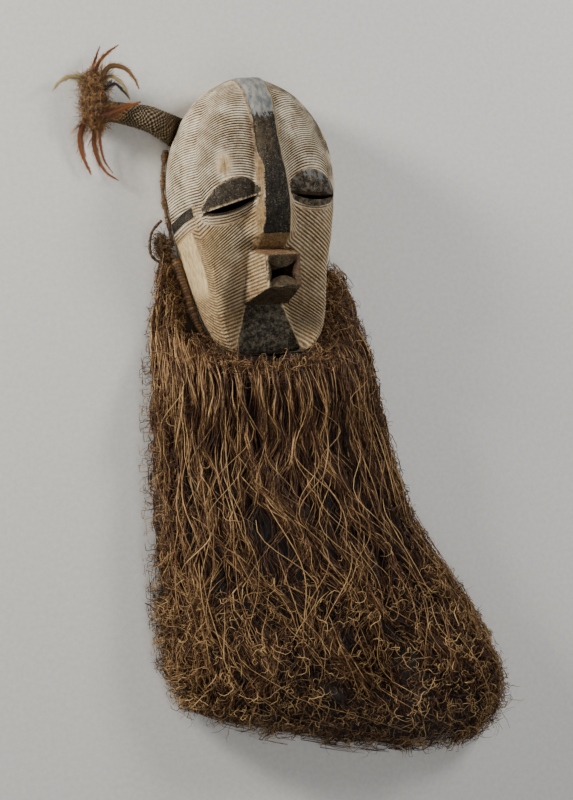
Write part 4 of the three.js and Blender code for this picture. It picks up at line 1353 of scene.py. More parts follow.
def hanging_strands(name, seed, count, width, material):
    """Long strands that follow the mound down: some start under the collar, others come out lower.

    A strand rises from inside the beard and sinks back at its tip, by the root of a sine, and it ends where it
    would leave the beard's border.
    """
    rng = np.random.default_rng(seed)
    steps = 10
    start_angle = rng.uniform(-1.53, 1.53, count)
    top = first_clear_y(start_angle)
    late = rng.random(count) < 0.66
    y0 = top - np.where(late, rng.uniform(0, 1, count) ** 0.8 * (top + 570), rng.uniform(0, 12, count))
    length = rng.uniform(80, 230, count)
    y1 = np.maximum(y0 - length, np.minimum(rng.uniform(-655, -560, count), y0 - 25))
    y0, y1, start_angle = y0[:, None], y1[:, None], start_angle[:, None]
    t = np.linspace(0, 1, steps)[None, :]
    phase, pace = rng.uniform(0, 2 * np.pi, (count, 1)), rng.uniform(14, 40, (count, 1))
    stray = rng.normal(0, 0.035, (count, 1))

    y = mix(y0, y1, t)
    _, beyond = hanging_point(swayed(start_angle, y, t, phase, pace, stray), y, 0.0)
    out = beyond > 0.985
    kept = np.where(out.any(axis=1), np.argmax(out, axis=1) / (steps - 1), 1.0)
    t = t * np.maximum(kept, 0.12)[:, None]
    y = mix(y0, y1, t)
    angle = swayed(start_angle, y, t, phase, pace, stray)

    rise = 4.5 * (1 - np.sin(np.pi * np.clip(mix(0.05, 0.97, t), 0, 1)) ** 0.5) * late[:, None]
    lock = 2.4 * ripple(63, angle * 9, y / 110) + 2.2 * ripple(64, angle * 23, y / 60)
    layer = 7.5 * rng.random((count, 1))
    lift = 1.6 * np.sin(y / pace * 1.7 + 1.3 * phase)
    depth = np.maximum(layer + rise + lift - lock, -4.5)
    paths = off_the_rope(hanging_point(angle, y, depth)[0])
    radii = width * rng.uniform(0.22, 0.5, count) * rng.choice([0.75, 1.0, 1.35], count)
    # painted light and shade: the deeper a strand lies, the darker it is painted, partly for dirt and partly as
    # shade; strands on the left are painted lighter and those on the right darker, as the key light comes from
    # the left
    tone = rng.beta(1.3, 2.1, (count, 1)) + 0.1 - 0.06 * (depth - 0.5)
    tone = tone + 0.16 * ease((-70 - paths[..., 0]) / 60) - 0.12 * ease((paths[..., 0] - 60) / 80)
    return add_strands(name, paths, radii, 0.4, seed + 1, np.clip(tone, -0.3, 1), material, *BEARD)


def raffia_tangle(seed, count, width, material):
    """Short curled strands caught among the long ones, in patches, and thickest down the two sides.

    Of four times as many random places, those are kept where a ripple and the distance from the middle add up
    to most. The curls are drawn nine tenths of the way to the beard's surface.
    """
    rng = np.random.default_rng(seed)
    angle = rng.uniform(-1.52, 1.52, 4 * count)
    y = rng.uniform(-540, -60, 4 * count)
    patch = ripple(75, angle * 5, y / 70) + 2.2 * np.abs(angle) - 1.9
    clear = y < first_clear_y(angle)
    chosen = np.argsort(-(patch + rng.normal(0, 0.6, 4 * count)) * clear + 99 * ~clear)[:count]
    angle, y = angle[chosen], y[chosen]
    root = beard_point(angle, y, rng.uniform(-2, 3, count))
    heading = thrown(rng, count, (0, 0.7), (-0.8, 0.6), (0, 0.3))
    paths = curls(rng, root, heading, 7, rng.uniform(14, 50, count), 2.4, 0.22)
    middle, half = beard_edges(paths[..., 1])
    reach = half + rng.uniform(1, 9, (count, 1))
    p = np.clip((paths[..., 0] - middle) / reach, -1, 1)
    sheet = beard_crown(paths[..., 0], paths[..., 1]) * arc(p, MOUND_POWER)
    paths[..., 2] = mix(paths[..., 2], np.clip(paths[..., 2], sheet - 4, sheet + 6), 0.9)
    paths[..., 0] = mix(paths[..., 0], middle + p * reach, 0.9)
    radii = width * rng.uniform(0.16, 0.36, count)
    return add_strands("raffia_tangle", off_the_rope(paths), radii, 0.5, seed + 1, rng.beta(1.9, 2.0, count),
                       material, *BEARD)


def raffia_ruff(count, width, material):
    """Short broken ends that curl in a mat outside the rope, over the chin's lower edge and up both sides.

    Each starts within 40 mm of the rope, a little inside the beard, and its path is held near the beard's
    surface. Some lean over the chin's edge by up to 13 mm, above its surface.
    """
    rng = np.random.default_rng(71)
    line = rope_path(400)
    out = unit(np.cross(np.gradient(line, axis=0), [0.0, 0.0, 1.0]))
    out = np.where(np.sum(out * (line - [0, -60, 0]), axis=1, keepdims=True) < 0, -out, out)
    spot = np.flatnonzero((line[:, 0] < 0) | (line[:, 1] < -66))
    pick = rng.choice(spot, count)
    offset = rng.uniform(4, 40, (count, 1)) * rng.uniform(0.45, 1, (count, 1))
    root = line[pick] + out[pick] * offset
    crown = np.minimum(beard_crown(root[:, 0], root[:, 1]), 74)
    deep = rng.uniform(-1, 9, count)
    root[:, 2] = np.maximum(crown - deep, 4)
    heading = out[pick] * rng.normal(0.1, 0.7, (count, 1)) + rng.normal(0, 0.7, (count, 3)) + [0, -0.45, 0.1]
    paths = curls(rng, root, heading, 7, rng.uniform(14, 40, count), 2.0, 0.25)
    middle, half = beard_edges(paths[..., 1])
    low, high = middle - half - 3, middle + half + 3
    paths[..., 0] = np.where(paths[..., 1] < BEARD_TOP_Y, np.clip(paths[..., 0], low, high), paths[..., 0])
    paths[..., 2] = np.minimum(paths[..., 2], crown[:, None] + 5)
    before_chin = np.abs(paths[..., 0]) <= 46
    over = np.minimum(paths[..., 1], CHIN_Y + rng.uniform(-2, 13, (count, 1)))
    paths[..., 1] = np.where(before_chin, over, paths[..., 1])
    x, y, z = np.moveaxis(paths, -1, 0)
    inside = before_chin & (y > CHIN_Y + 1) & (z < front_height(x, np.maximum(y, CHIN_Y + 2)) + 1.5)
    paths[..., 1] = np.where(inside, CHIN_Y - 2, y)
    radii = width * rng.uniform(0.15, 0.34, count)
    # partly painted shade: the deeper an end starts, the darker it is painted
    tone = np.clip(rng.beta(2.0, 2.0, count) + 0.16 - 0.07 * (deep - 1), -0.2, 1)
    return add_strands("raffia_ruff", off_the_rope(paths, 1.0), radii, 0.55, 72, tone, material, *BEARD)


def raffia_hem(name, seed, count, width, material):
    """The matted hem: short kinked strands that follow the rolls in swirls, with holes that show the core's
    painted shade.

    The swirl is a slow ripple of the heading. Each path keeps near the rolls' surface, less its own depth.
    Those at the border reach past it in clumps, and those of the last stretch cover the hem's upright end.
    """
    rng = np.random.default_rng(seed)
    y = -450 - 238 * rng.random(count) ** 0.85
    at_side = rng.random(count) < 0.2
    side_angle = rng.choice([-1.0, 1.0], count) * rng.uniform(1.35, 1.565, count)
    angle = np.where(at_side, side_angle, rng.uniform(-1.5, 1.5, count))
    hollow = 4.0 * ripple(81, angle * 6, y / 45) + 4.0 * ripple(82, angle * 13, y / 22)
    layer = 9 * rng.random(count) ** 1.3
    root = beard_point(angle, y, layer - 2 - hollow)
    fallen = np.where(y < -650, rng.random(count) ** 1.5, 0) * root[:, 2]
    turn = 2.6 * ripple(83, root[:, 0] / 70, y / 52) + rng.normal(0, 1.1, count) - 1.2
    heading = np.column_stack([np.cos(turn), np.sin(turn), rng.normal(0, 0.5, count)])
    start = root - np.outer(fallen, [0, 0, 1])
    paths = curls(rng, start, heading, 7, rng.uniform(15, 44, count), 2.2, 0.45)
    clump = 7 * ripple(85, root[:, 0] / 34, y / 34) + 5 * ripple(86, root[:, 0] / 13, y / 13)
    push = np.clip(clump + rng.uniform(-5, 9, count), -8, 16)[:, None]
    x, y, z = (paths[..., axis] + 0.0 for axis in range(3))
    layer, fallen_by = layer[:, None], fallen[:, None]
    middle, half = beard_edges(np.clip(y + np.maximum(push, 0), BEARD_HEM_Y + 2, 0))
    reach = np.maximum(half + push, 1)
    p = np.clip((x - middle) / reach, -1, 1)
    sheet = beard_crown(x, np.maximum(y + push, BEARD_HEM_Y)) * arc(p, MOUND_POWER) - fallen_by
    paths[..., 2] = mix(z, np.clip(z, sheet - layer - 6, sheet + 9 - layer), 0.85)
    paths[..., 0] = mix(x, middle + p * reach, 0.9)
    paths[..., 1] = np.maximum(y, BEARD_HEM_Y - rng.uniform(0, 16, (count, 1)))
    paths = keep_over_floor(paths, rng.uniform(0.6, 9.0, (count, 1)))
    radii = width * rng.uniform(0.18, 0.4, count)
    # partly painted shade: strands that lie deeper in the mat are painted darker
    tone = rng.beta(1.3, 1.4, count) + 0.14 + 0.055 * hollow - 0.075 * (layer[:, 0] - 2)
    return add_strands(name, paths, radii, 0.55, seed + 1, np.clip(tone, -0.2, 1.2), material, *BEARD)


def raffia_strays(width, material):
    """Pale loose strands that arch over the others, and thin curls that stand off the outline.

    A loose strand follows the mound, stands 2 to 7 mm over it by a sine, and sways by a sine of its own.
    """
    rng = np.random.default_rng(91)
    steps, count = 12, 110
    angle = rng.uniform(-1.2, 1.2, (count, 1))
    t = np.linspace(0, 1, steps)[None, :]
    y0 = rng.uniform(-520, -190, (count, 1))
    y = np.maximum(y0 - rng.uniform(60, 170, (count, 1)) * t, BEARD_HEM_Y + 12)
    swing = rng.normal(0, 0.1, (count, 1))
    swing = swing * np.sin(t * rng.uniform(2, 7, (count, 1)) + rng.uniform(0, 6, (count, 1)))
    paths = beard_point(np.clip(angle + swing, -1.5, 1.5), y, -2 - 5 * np.sin(np.pi * t))
    bold = fibres(paths, width * rng.uniform(0.3, 0.5, count), 0.5, 92)
    bold_tone = spread(rng.uniform(0.6, 1, count), steps)

    steps, count = 7, 1100
    side = rng.choice([-1.0, 1.0], count)
    low = rng.random(count) < 0.3
    y = np.where(low, rng.uniform(-688, -585, count), rng.uniform(-620, -62, count))
    root = beard_point(side * rng.uniform(0.9, 1.5, count), y, 1.0)
    way = np.column_stack([side * rng.uniform(-0.1, 1, count), rng.normal(-0.4 - 0.7 * low, 0.8, count),
                           rng.normal(0.1, 0.4, count)])
    paths = curls(rng, root, way, steps, rng.uniform(8, 25, count) * (1 + 0.5 * low), 2.4, 0.22)
    paths[..., 0] = np.where(root[:, 1:2] > -150, np.clip(paths[..., 0], -152, 146), paths[..., 0])
    thin = fibres(keep_over_floor(off_the_rope(paths)), width * rng.uniform(0.14, 0.28, count), 0.6, 93)
    thin_tone = spread(rng.uniform(0.2, 0.9, count), steps)
    values = {"tone": np.concatenate([bold_tone, thin_tone])}
    return add_mesh("raffia_strays", *joined([bold, thin]), material, values, ["raffia_beard"], "raffia")


# Materials


def linear(hexes):
    """A colour written as sRGB hex, such as C9BBA2, as the linear values that a shader takes."""
    channels = [int(hexes[k:k + 2], 16) / 255 for k in (0, 2, 4)]
    return (*[c / 12.92 if c <= 0.04045 else ((c + 0.055) / 1.055) ** 2.4 for c in channels], 1.0)


def add_node(tree, kind, inputs=None, out=0, **settings):
    """Adds one node with its settings, feeds its sockets, and gives back the output that is asked for.

    An input is a number, a colour, a colour's hex word, or the output of another node.
    """
    node = tree.nodes.new(kind)
    for name, value in settings.items():
        setattr(node, name, value)
    for key, value in (inputs or {}).items():
        if isinstance(value, bpy.types.NodeSocket):
            tree.links.new(value, node.inputs[key])
        else:
            node.inputs[key].default_value = linear(value) if isinstance(value, str) else value
    return node.outputs[out] if node.outputs else None


def new_material(name):
    """An empty material, and the function that adds a node to it."""
    material = bpy.data.materials.new(name)
    material.use_nodes = True
    material.node_tree.nodes.clear()
    return material, partial(add_node, material.node_tree)


MIX, RANGE, MATH, MAP, NOISE, READ, BSDF, OUTPUT = (
    "ShaderNodeMix", "ShaderNodeMapRange", "ShaderNodeMath", "ShaderNodeMapping", "ShaderNodeTexNoise",
    "ShaderNodeAttribute", "ShaderNodeBsdfPrincipled", "ShaderNodeOutputMaterial",
)
# a mix of colours takes its share at 0 and its colours at 6 and 7; a range takes a value at 0, its span at 1
# and 2, and the span that it becomes at 3 and 4
TINT = {"data_type": "RGBA", "out": 2}
TIMES, PLUS = {"operation": "MULTIPLY"}, {"operation": "ADD"}
PLACE = {"kind": "ShaderNodeTexCoord", "out": "Object"}


def per_mm(*sizes):
    """The scale that turns metres into one unit of a pattern for each of the given millimetres."""
    return [1000 / size for size in sizes]


def kaolin_on_wood(colours):
    """Softwood carved with an adze and a gouge, rubbed with kaolin and soot.

    To the eye it is chalky and matt: pale lands between lines that hold brown dirt, ochre where the clay has
    worn off, and a black that has gone dusty, is chipped to wood and has a little sheen where hands rubbed it.
    Some light and shade is painted in as colour: the grey-blue on the black of the crown is partly a painted
    highlight, the cheeks' darker clay is partly painted shade, and the clay is painted paler where the face is
    shaded.
    """
    material, node = new_material("carved softwood, kaolin and soot")
    place = node(**PLACE)
    patches, stains, grain, speck, scuff = (
        node(NOISE, {0: node(MAP, {0: place, "Scale": per_mm(*size)}), "Scale": 1, "Detail": detail,
                     "Roughness": rough})
        for size, detail, rough in (
            ((26, 26, 26), 6, 0.62), ((9, 22, 14), 7, 0.72), ((2.2, 34, 2.2), 5, 0.65),
            ((1.7, 1.7, 1.7), 4, 0.75), ((6, 6, 6), 6, 0.75)))
    # the crown zone holds a painted highlight as well as rubbed wear, and the cheek zone painted shade as well as
    # dirt
    lines, black, bare, red, tan, inside, crown, brown, cheek, stain, dusty, rim, number = (
        node(READ, out="Fac", attribute_name=name)
        for name in ("lines", "black", "bare", "red", "tan", "inside", "crown", "brown", "cheek", "stain",
                     "dusty", "rim", "count"))

    # the dirt in each groove: a V round every whole number of the count, with a trembling edge
    wobble = node(MATH, {0: node(RANGE, {0: speck, 1: 0.3, 2: 0.7, 3: -0.1, 4: 0.1}),
                         1: node(RANGE, {0: scuff, 1: 0.3, 2: 0.7, 3: -0.1, 4: 0.1})}, **PLUS)
    count = node(MATH, {0: number, 1: wobble}, **PLUS)
    off = node(MATH, {0: count, 1: node(MATH, {0: count}, operation="ROUND")}, operation="SUBTRACT")
    groove = node(RANGE, {0: node(MATH, {0: off}, operation="ABSOLUTE"), 1: 0.4, 2: 0.17})
    for share in (node(RANGE, {0: patches, 1: 0.34, 2: 0.6, 3: 0.72, 4: 1.0}), lines,
                  node(RANGE, {0: cheek, 3: 0.96, 4: 0.8})):
        groove = node(MATH, {0: groove, 1: share}, **TIMES)

    # pairs of shades, each mixed by a noise: clay, the cheeks' darker clay (dirt and painted shade), bare wood,
    # the side panel, and rubbed black with a painted grey-blue highlight
    pale, worn, wood, side, shine = (
        node(MIX, {0: node(RANGE, {0: noise, 1: low, 2: high}), 6: one, 7: other}, **TINT)
        for noise, low, high, one, other in (
            (patches, 0.38, 0.66, colours.clay_light, colours.clay),
            (scuff, 0.4, 0.66, colours.cheek_light, colours.cheek),
            (grain, 0.36, 0.64, colours.bare_dark, colours.bare_light),
            (grain, 0.3, 0.56, colours.tan_dark, colours.tan_light),
            (stains, 0.4, 0.6, colours.rubbed, colours.rubbed_and_sheen_blue)))

    # the clay, and over it ochre, stains with a painted shadow left of the crest, specks of dirt, scrapes along
    # the grain and the grooves
    blot = node(MATH, {0: stain, 1: node(RANGE, {0: scuff, 1: 0.34, 2: 0.6, 3: 0.3})}, **TIMES)
    scrape = node(MATH, {0: node(RANGE, {0: grain, 1: 0.53, 2: 0.62}),
                         1: node(RANGE, {0: scuff, 1: 0.5, 2: 0.6})}, **TIMES)
    # the cheeks take the darker clay, partly for dirt and partly as painted shade
    clay = node(MIX, {0: cheek, 6: pale, 7: worn}, **TINT)
    for share, over in (
            (node(RANGE, {0: stains, 1: 0.52, 2: 0.68, 4: 0.62}), colours.ochre), (blot, colours.stain),
            (node(RANGE, {0: speck, 1: 0.55, 2: 0.72, 4: 0.6}), colours.dirt),
            (node(MATH, {0: scrape, 1: 0.75}, **TIMES), colours.clay_light), (groove, colours.groove)):
        clay = node(MIX, {0: share, 6: clay, 7: over}, **TINT)

    # the black: brown-black with the grain, worn to brown, dusty, flecked with wood, and rubbed to a grey shine
    # that is partly wear and partly a painted highlight
    brownish = node(MATH, {0: brown, 1: node(RANGE, {0: scuff, 1: 0.36, 2: 0.58})}, **TIMES)
    flecks = node(MATH, {0: node(RANGE, {0: speck, 1: 0.52, 2: 0.64}),
                         1: node(RANGE, {0: stains, 1: 0.4, 2: 0.62, 3: 0.1})}, **TIMES)
    dust = node(MATH, {0: node(RANGE, {0: scuff, 1: 0.47, 2: 0.62}), 1: dusty}, **TIMES)
    dust = node(MATH, {0: node(MATH, {0: dust, 1: 0.75}, **TIMES), 1: flecks}, operation="MAXIMUM")
    # grey-blue on the crest's crown and the right upper lid: partly rubbed wear, partly a painted highlight
    rubbed = node(MATH, {0: crown, 1: node(RANGE, {0: stains, 1: 0.3, 2: 0.7, 3: -0.55, 4: 0.55})}, **PLUS)
    soot = colours.soot
    for share, over in (
            (node(RANGE, {0: grain, 1: 0.44, 2: 0.66}), colours.soot_worn), (brownish, colours.soot_brown),
            (node(MATH, {0: dust, 1: 0.8}, **TIMES), colours.dust),
            (node(RANGE, {0: rubbed, 1: 0.5, 2: 0.7, 4: 0.92}), shine)):
        soot = node(MIX, {0: share, 6: soot, 7: over}, **TINT)

    # the zones over the clay, with ragged borders, then the red stain, the chipped edges and the bare inside
    ragged = node(RANGE, {0: scuff, 1: 0.3, 2: 0.7, 3: -0.28, 4: 0.28})
    tan_edge, bare_edge, black_edge = (
        node(RANGE, {0: node(MATH, {0: zone, 1: ragged}, **PLUS), 1: low, 2: high})
        for zone, low, high in ((tan, 0.3, 0.8), (bare, 0.25, 0.85), (black, 0.3, 0.6)))
    redness = node(MATH, {0: red, 1: node(RANGE, {0: scuff, 1: 0.4, 2: 0.6, 3: 0.25, 4: 0.75})}, **TIMES)
    chipped = node(MATH, {0: rim, 1: node(RANGE, {0: scuff, 1: 0.44, 2: 0.56})}, **TIMES)
    colour = clay
    for share, over in (
            (tan_edge, side), (bare_edge, wood), (black_edge, soot), (redness, colours.red),
            (node(MATH, {0: chipped, 1: 0.85}, **TIMES), colours.clay), (inside, wood)):
        colour = node(MIX, {0: share, 6: colour, 7: over}, **TINT)

    sheen = node(MATH, {0: black, 1: scuff}, **TIMES)
    relief = node(MATH, {0: node(MATH, {0: scuff, 1: 1.6}, **TIMES), 1: grain}, **PLUS)
    relief = node(MATH, {0: relief, 1: node(MATH, {0: speck, 1: 0.8}, **TIMES)}, **PLUS)
    surface = node(BSDF, {
        "Base Color": colour,
        "Roughness": node(RANGE, {0: sheen, 1: 0.1, 2: 0.6, 3: 0.88, 4: 0.58}),
        "Specular IOR Level": node(RANGE, {0: black, 1: 0.0, 2: 1.0, 3: 0.4, 4: 0.2}),
        "Normal": node("ShaderNodeBump", {"Height": relief, "Distance": 0.0007, "Strength": 0.9}),
    })
    node(OUTPUT, {0: surface})
    return material


def dry_fibre(name, dark, middle, light, roughness):
    """Fibre stripped from a leaf, dried and left loose, as raffia, bark and down are here.

    To the eye each strand has its own shade, from brown to straw, with streaks. Where a piece gives its deeper
    strands a lower tone, their darker brown inside the mass is partly dirt and partly painted shade.
    """
    material, node = new_material(name)
    where = node(MAP, {0: node(**PLACE), "Scale": per_mm(3, 9, 5)})
    streak = node(NOISE, {0: where, "Scale": 1, "Detail": 3})
    streak = node(RANGE, {0: streak, 1: 0.25, 2: 0.75, 3: -0.22, 4: 0.22})
    tone = node(MATH, {0: node(READ, out="Fac", attribute_name="tone"), 1: streak}, **PLUS)
    low = node(MIX, {0: node(RANGE, {0: tone, 1: 0.0, 2: 0.55}), 6: dark, 7: middle}, **TINT)
    colour = node(MIX, {0: node(RANGE, {0: tone, 1: 0.5, 2: 1.05}), 6: low, 7: light}, **TINT)
    surface = node(BSDF, {"Base Color": colour, "Roughness": roughness})
    node(OUTPUT, {0: surface})
    return material


def knotted_netting(colours):
    """Thin two-ply cord knotted into a net over a dark stuffing.

    To the eye the knots are pale with dust and the holes between them nearly black, partly from the dark stuffing
    and partly as painted shade under the cords.
    """
    material, node = new_material("knotted cord netting")
    where = node(MAP, {0: node(**PLACE), "Scale": per_mm(2, 2, 2)})
    grime = node(RANGE, {0: node(NOISE, {0: where, "Scale": 1, "Detail": 3}), 1: 0.35, 2: 0.65})
    cord = node(READ, out="Fac", attribute_name="cord")
    knot = node(READ, out="Fac", attribute_name="knot")
    dirty = node(MIX, {0: grime, 6: colours.net, 7: colours.net_dirt}, **TINT)
    # the holes between the cords: partly dark stuffing, partly painted shade
    colour = node(MIX, {0: node(RANGE, {0: cord, 1: 0.35, 2: 0.8}), 6: colours.net_hole, 7: dirty}, **TINT)
    knot = node(RANGE, {0: knot, 1: 0.3, 2: 0.9, 4: 0.75})
    colour = node(MIX, {0: knot, 6: colour, 7: colours.net_knot}, **TINT)
    surface = node(BSDF, {"Base Color": colour, "Roughness": 0.85})
    node(OUTPUT, {0: surface})
    return material


def feather_barbs(name, base, tip, edge):
    """A cock's hackle feather: keratin barbs on a shaft.

    To the eye it is satiny, with a paler fringe and a colour that changes from the base to the tip.
    """
    material, node = new_material(name)
    where = node(MAP, {0: node(**PLACE), "Scale": per_mm(0.8, 5, 5)})
    barb = node(RANGE, {0: node(NOISE, {0: where, "Scale": 1, "Detail": 2}), 1: 0.35, 2: 0.65})
    along = node(READ, out="Fac", attribute_name="along")
    fringe = node(READ, out="Fac", attribute_name="edge")
    colour = node(MIX, {0: along, 6: base, 7: tip}, **TINT)
    colour = node(MIX, {0: node(RANGE, {0: fringe, 1: 0.45, 2: 1.0, 4: 0.8}), 6: colour, 7: edge}, **TINT)
    colour = node(MIX, {0: node(MATH, {0: barb, 1: 0.45}, **TIMES), 6: colour, 7: base}, **TINT)
    surface = node(BSDF, {"Base Color": colour, "Roughness": 0.45, "Sheen Weight": 0.05})
    node(OUTPUT, {0: surface})
    return material


def matt_paper(colours):
    """Seamless background paper: even and matt, with a faint fibre."""
    material, node = new_material("matt paper")
    where = node(MAP, {0: node(**PLACE), "Scale": per_mm(6, 6, 6)})
    fibre = node(RANGE, {0: node(NOISE, {0: where, "Scale": 1, "Detail": 3}), 1: 0.3, 2: 0.7})
    colour = node(MIX, {0: fibre, 6: colours.floor, 7: colours.floor_fibre}, **TINT)
    node(OUTPUT, {0: node(BSDF, {"Base Color": colour, "Roughness": 0.9})})
    return material


# The stage


def look_from_photo():
    """The camera: 2.65 m away, 22 degrees to the face's left and 2 below its middle, rolled by 5.5.

    Its own axes are worked out from these angles with sines, cosines and cross products.
    """
    turn, below, roll = (math.radians(a) for a in (22.0, 2.0, 5.5))
    back = np.array([-math.sin(turn) * math.cos(below), -math.sin(below), math.cos(turn) * math.cos(below)])
    level = np.array([math.cos(turn), 0.0, math.sin(turn)])
    tilt = np.cross(back, level)
    right = level * math.cos(roll) - tilt * math.sin(roll)
    up = np.cross(back, right)
    camera = bpy.data.objects.new("camera", bpy.data.cameras.new("camera"))
    camera.data.lens = 93.3
    camera.data.clip_end = 50
    axes = Matrix([Vector(v) for v in (right, up, back)]).transposed()
    place = Vector((ORIGIN + [-954.346, -325.158, 2449.210]) * MM)
    camera.matrix_world = Matrix.Translation(place) @ axes.to_4x4()
    bpy.context.scene.collection.objects.link(camera)
    bpy.context.scene.camera = camera
    return right, up, back


def soft_light(name, target, place, size, power, tint):
    """A square area light at a place in metres, turned to the target."""
    light = bpy.data.lights.new(name, "AREA")
    light.size = size
    light.energy = power
    light.color = tint
    lamp = bpy.data.objects.new(name, light)
    aim = Vector(target) - Vector(place)
    lamp.matrix_world = Matrix.Translation(Vector(place)) @ aim.to_track_quat("-Z", "Y").to_matrix().to_4x4()
    bpy.context.scene.collection.objects.link(lamp)


def pale_floor(material):
    """A flat square of paper, half a millimetre under the mask."""
    reach = 6
    mesh = bpy.data.meshes.new("floor")
    corners = [(-reach, -reach, 0), (reach, -reach, 0), (reach, reach, 0), (-reach, reach, 0)]
    mesh.from_pydata(corners, [], [(0, 1, 2, 3)])
    mesh.materials.append(material)
    floor = bpy.data.objects.new("floor", mesh)
    floor.location.z = -0.0005
    bpy.context.scene.collection.objects.link(floor)


def set_stage(material):
    """The camera, three soft lights placed from its point of view, a dim room and the floor."""
    right, up, back = look_from_photo()
    middle = (ORIGIN + [20, -200, 40]) * MM
    for name, behind, aside, above, size, power, tint in (
            ("key", 1.1, -1.5, 1.0, 0.45, 60, (1.0, 0.955, 0.88)),
            ("right_edge", 0.5, 1.4, 1.0, 0.5, 17, (1.0, 0.98, 0.95)),
            ("fill", 1.6, 0.6, -0.6, 1.2, 10, (1.0, 0.97, 0.93))):
        soft_light(name, middle, middle + back * behind + right * aside + up * above, size, power, tint)
    world = bpy.data.worlds.new("room")
    world.use_nodes = True
    colour, strength = world.node_tree.nodes["Background"].inputs[:2]
    colour.default_value = (0.92, 0.95, 1.0, 1.0)
    strength.default_value = 0.11
    bpy.context.scene.world = world
    pale_floor(material)


# Settings that a user would change


def length(name, description, millimetres):
    """A size that a user can change, given in millimetres and kept in metres."""
    return FloatProperty(
        name=name, description=description, default=millimetres * MM, min=0.0, unit="LENGTH", precision=5)


def number(name, description, default):
    """A count that a user can change."""
    return IntProperty(name=name, description=description, default=default, min=1)


def paint(name, description, hexes):
    """A colour that a user can change, given as sRGB hex."""
    return FloatVectorProperty(
        name=name, description=description, default=linear(hexes), size=4, min=0.0, max=1.0, subtype="COLOR")


class MaskSizes(bpy.types.PropertyGroup):
    """Sizes and counts of the mask's fine parts"""

    groove_pitch: length("Groove pitch", "From one groove of the forehead to the next", 3.5)
    groove_depth: length("Groove depth", "How deep the grooves are cut", 1.3)
    net_pitch: length("Net pitch", "From one knot of the net to the next", 4.4)
    strand_width: length("Strand width", "Width of the widest raffia strands", 1.8)
    strands: number("Strands", "How many long strands each of the three pieces has", 1900)
    tangle: number("Tangle", "How many short curled strands are caught among the long ones", 1400)
    ruff: number("Ruff", "How many broken ends curl round the rope", 2300)
    hem: number("Hem", "How many curled strands each of the hem's two pieces has", 2900)


class MaskColours(bpy.types.PropertyGroup):
    """Colours of the mask and its stage"""

    clay_light: paint("Clay, light", "Kaolin where it lies thick", "F9ECD2")
    clay: paint("Clay", "Kaolin that is rubbed thin", "D6BF98")
    # the cheeks' colours are partly dirt and partly painted shade
    cheek_light: paint("Cheeks, light", "Kaolin on the cheeks", "CAAE80")
    cheek: paint("Cheeks", "Dirty wood on the cheeks", "8E6D43")
    ochre: paint("Ochre", "Stains in the clay", "A07A48")
    # also used for the strip left of the crest, which is partly a painted shadow
    stain: paint("Stains", "Brown stains at the nose, the mouth block and the corners of the eyes", "745029")
    dirt: paint("Dirt", "Specks in the clay", "6E573A")
    groove: paint("Grooves", "The bottom of the grooves", "1B1109")
    bare_dark: paint("Bare wood, dark", "Dark grain of the bare wood", "544028")
    bare_light: paint("Bare wood, light", "Light grain of the bare wood", "9A7E55")
    tan_dark: paint("Side panel, dark", "Dark grain of the smooth side panel", "9C7D52")
    tan_light: paint("Side panel, light", "Light grain of the smooth side panel", "E0C899")
    red: paint("Red", "The red-brown stain between the nose and the mouth", "5E3726")
    soot: paint("Soot", "The black", "0B0906")
    soot_worn: paint("Soot, worn", "The black where the grain shows", "2A2218")
    soot_brown: paint("Soot, brown", "The black where it has worn to wood", "54442E")
    dust: paint("Dust", "Dust on the black", "8C826F")
    # the rubbed black's greys: partly wear, partly a painted highlight
    rubbed: paint("Rubbed black", "The grey shine on the crown", "9E9C95")
    rubbed_and_sheen_blue: paint("Rubbed black, blue", "The bluer grey between the shine", "686D6F")
    net: paint("Net", "The net's cord", "6E5E45")
    net_dirt: paint("Net, dirty", "The net's cord where it is dirty", "43351F")
    # the dark of the net's holes is partly painted shade
    net_hole: paint("Net holes", "The dark between the cords", "0D0804")
    net_knot: paint("Knots", "The net's dusty knots", "A3906E")
    # the dark end also paints the shade deep inside the beard
    raffia_dark: paint("Raffia, dark", "Strands inside the beard", "140903")
    raffia: paint("Raffia", "Most strands", "5C3517")
    raffia_light: paint("Raffia, light", "The palest strands", "C6A16C")
    # the rope's darker hollows are painted shade
    bark_dark: paint("Bark, dark", "Bark cords in their hollows", "2A1A0F")
    bark: paint("Bark", "Bark cords", "664A2C")
    bark_light: paint("Bark, light", "Bark cords on their ribs", "9C8058")
    down_dark: paint("Down, dark", "The tuft's inside", "2C1A0B")
    down: paint("Down", "The tuft", "84592A")
    down_light: paint("Down, light", "The tuft's ends", "C4A26C")
    floor: paint("Floor", "The stage's paper", "E4E4E1")
    floor_fibre: paint("Floor fibre", "The faint fibre in the paper", "DADAD7")


def settings():
    """The scene's sizes and colours of the mask."""
    scene = bpy.context.scene
    return scene.mask_sizes, scene.mask_colours


# Operators, one for each piece or group of like pieces


class MASK_OT_carved_face(bpy.types.Operator):
    """Carve the grooved face and paint it"""

    bl_idname = "mask.carved_face"
    bl_label = "Carved face"

    def execute(self, context):
        sizes, colours = settings()
        carved_face(sizes.groove_pitch / MM, sizes.groove_depth / MM, kaolin_on_wood(colours))
        return {"FINISHED"}


class MASK_OT_netted_tube(bpy.types.Operator):
    """Knot the net over its tube"""

    bl_idname = "mask.netted_tube"
    bl_label = "Netted tube"

    def execute(self, context):
        sizes, colours = settings()
        netted_tube(sizes.net_pitch / MM, knotted_netting(colours))
        return {"FINISHED"}


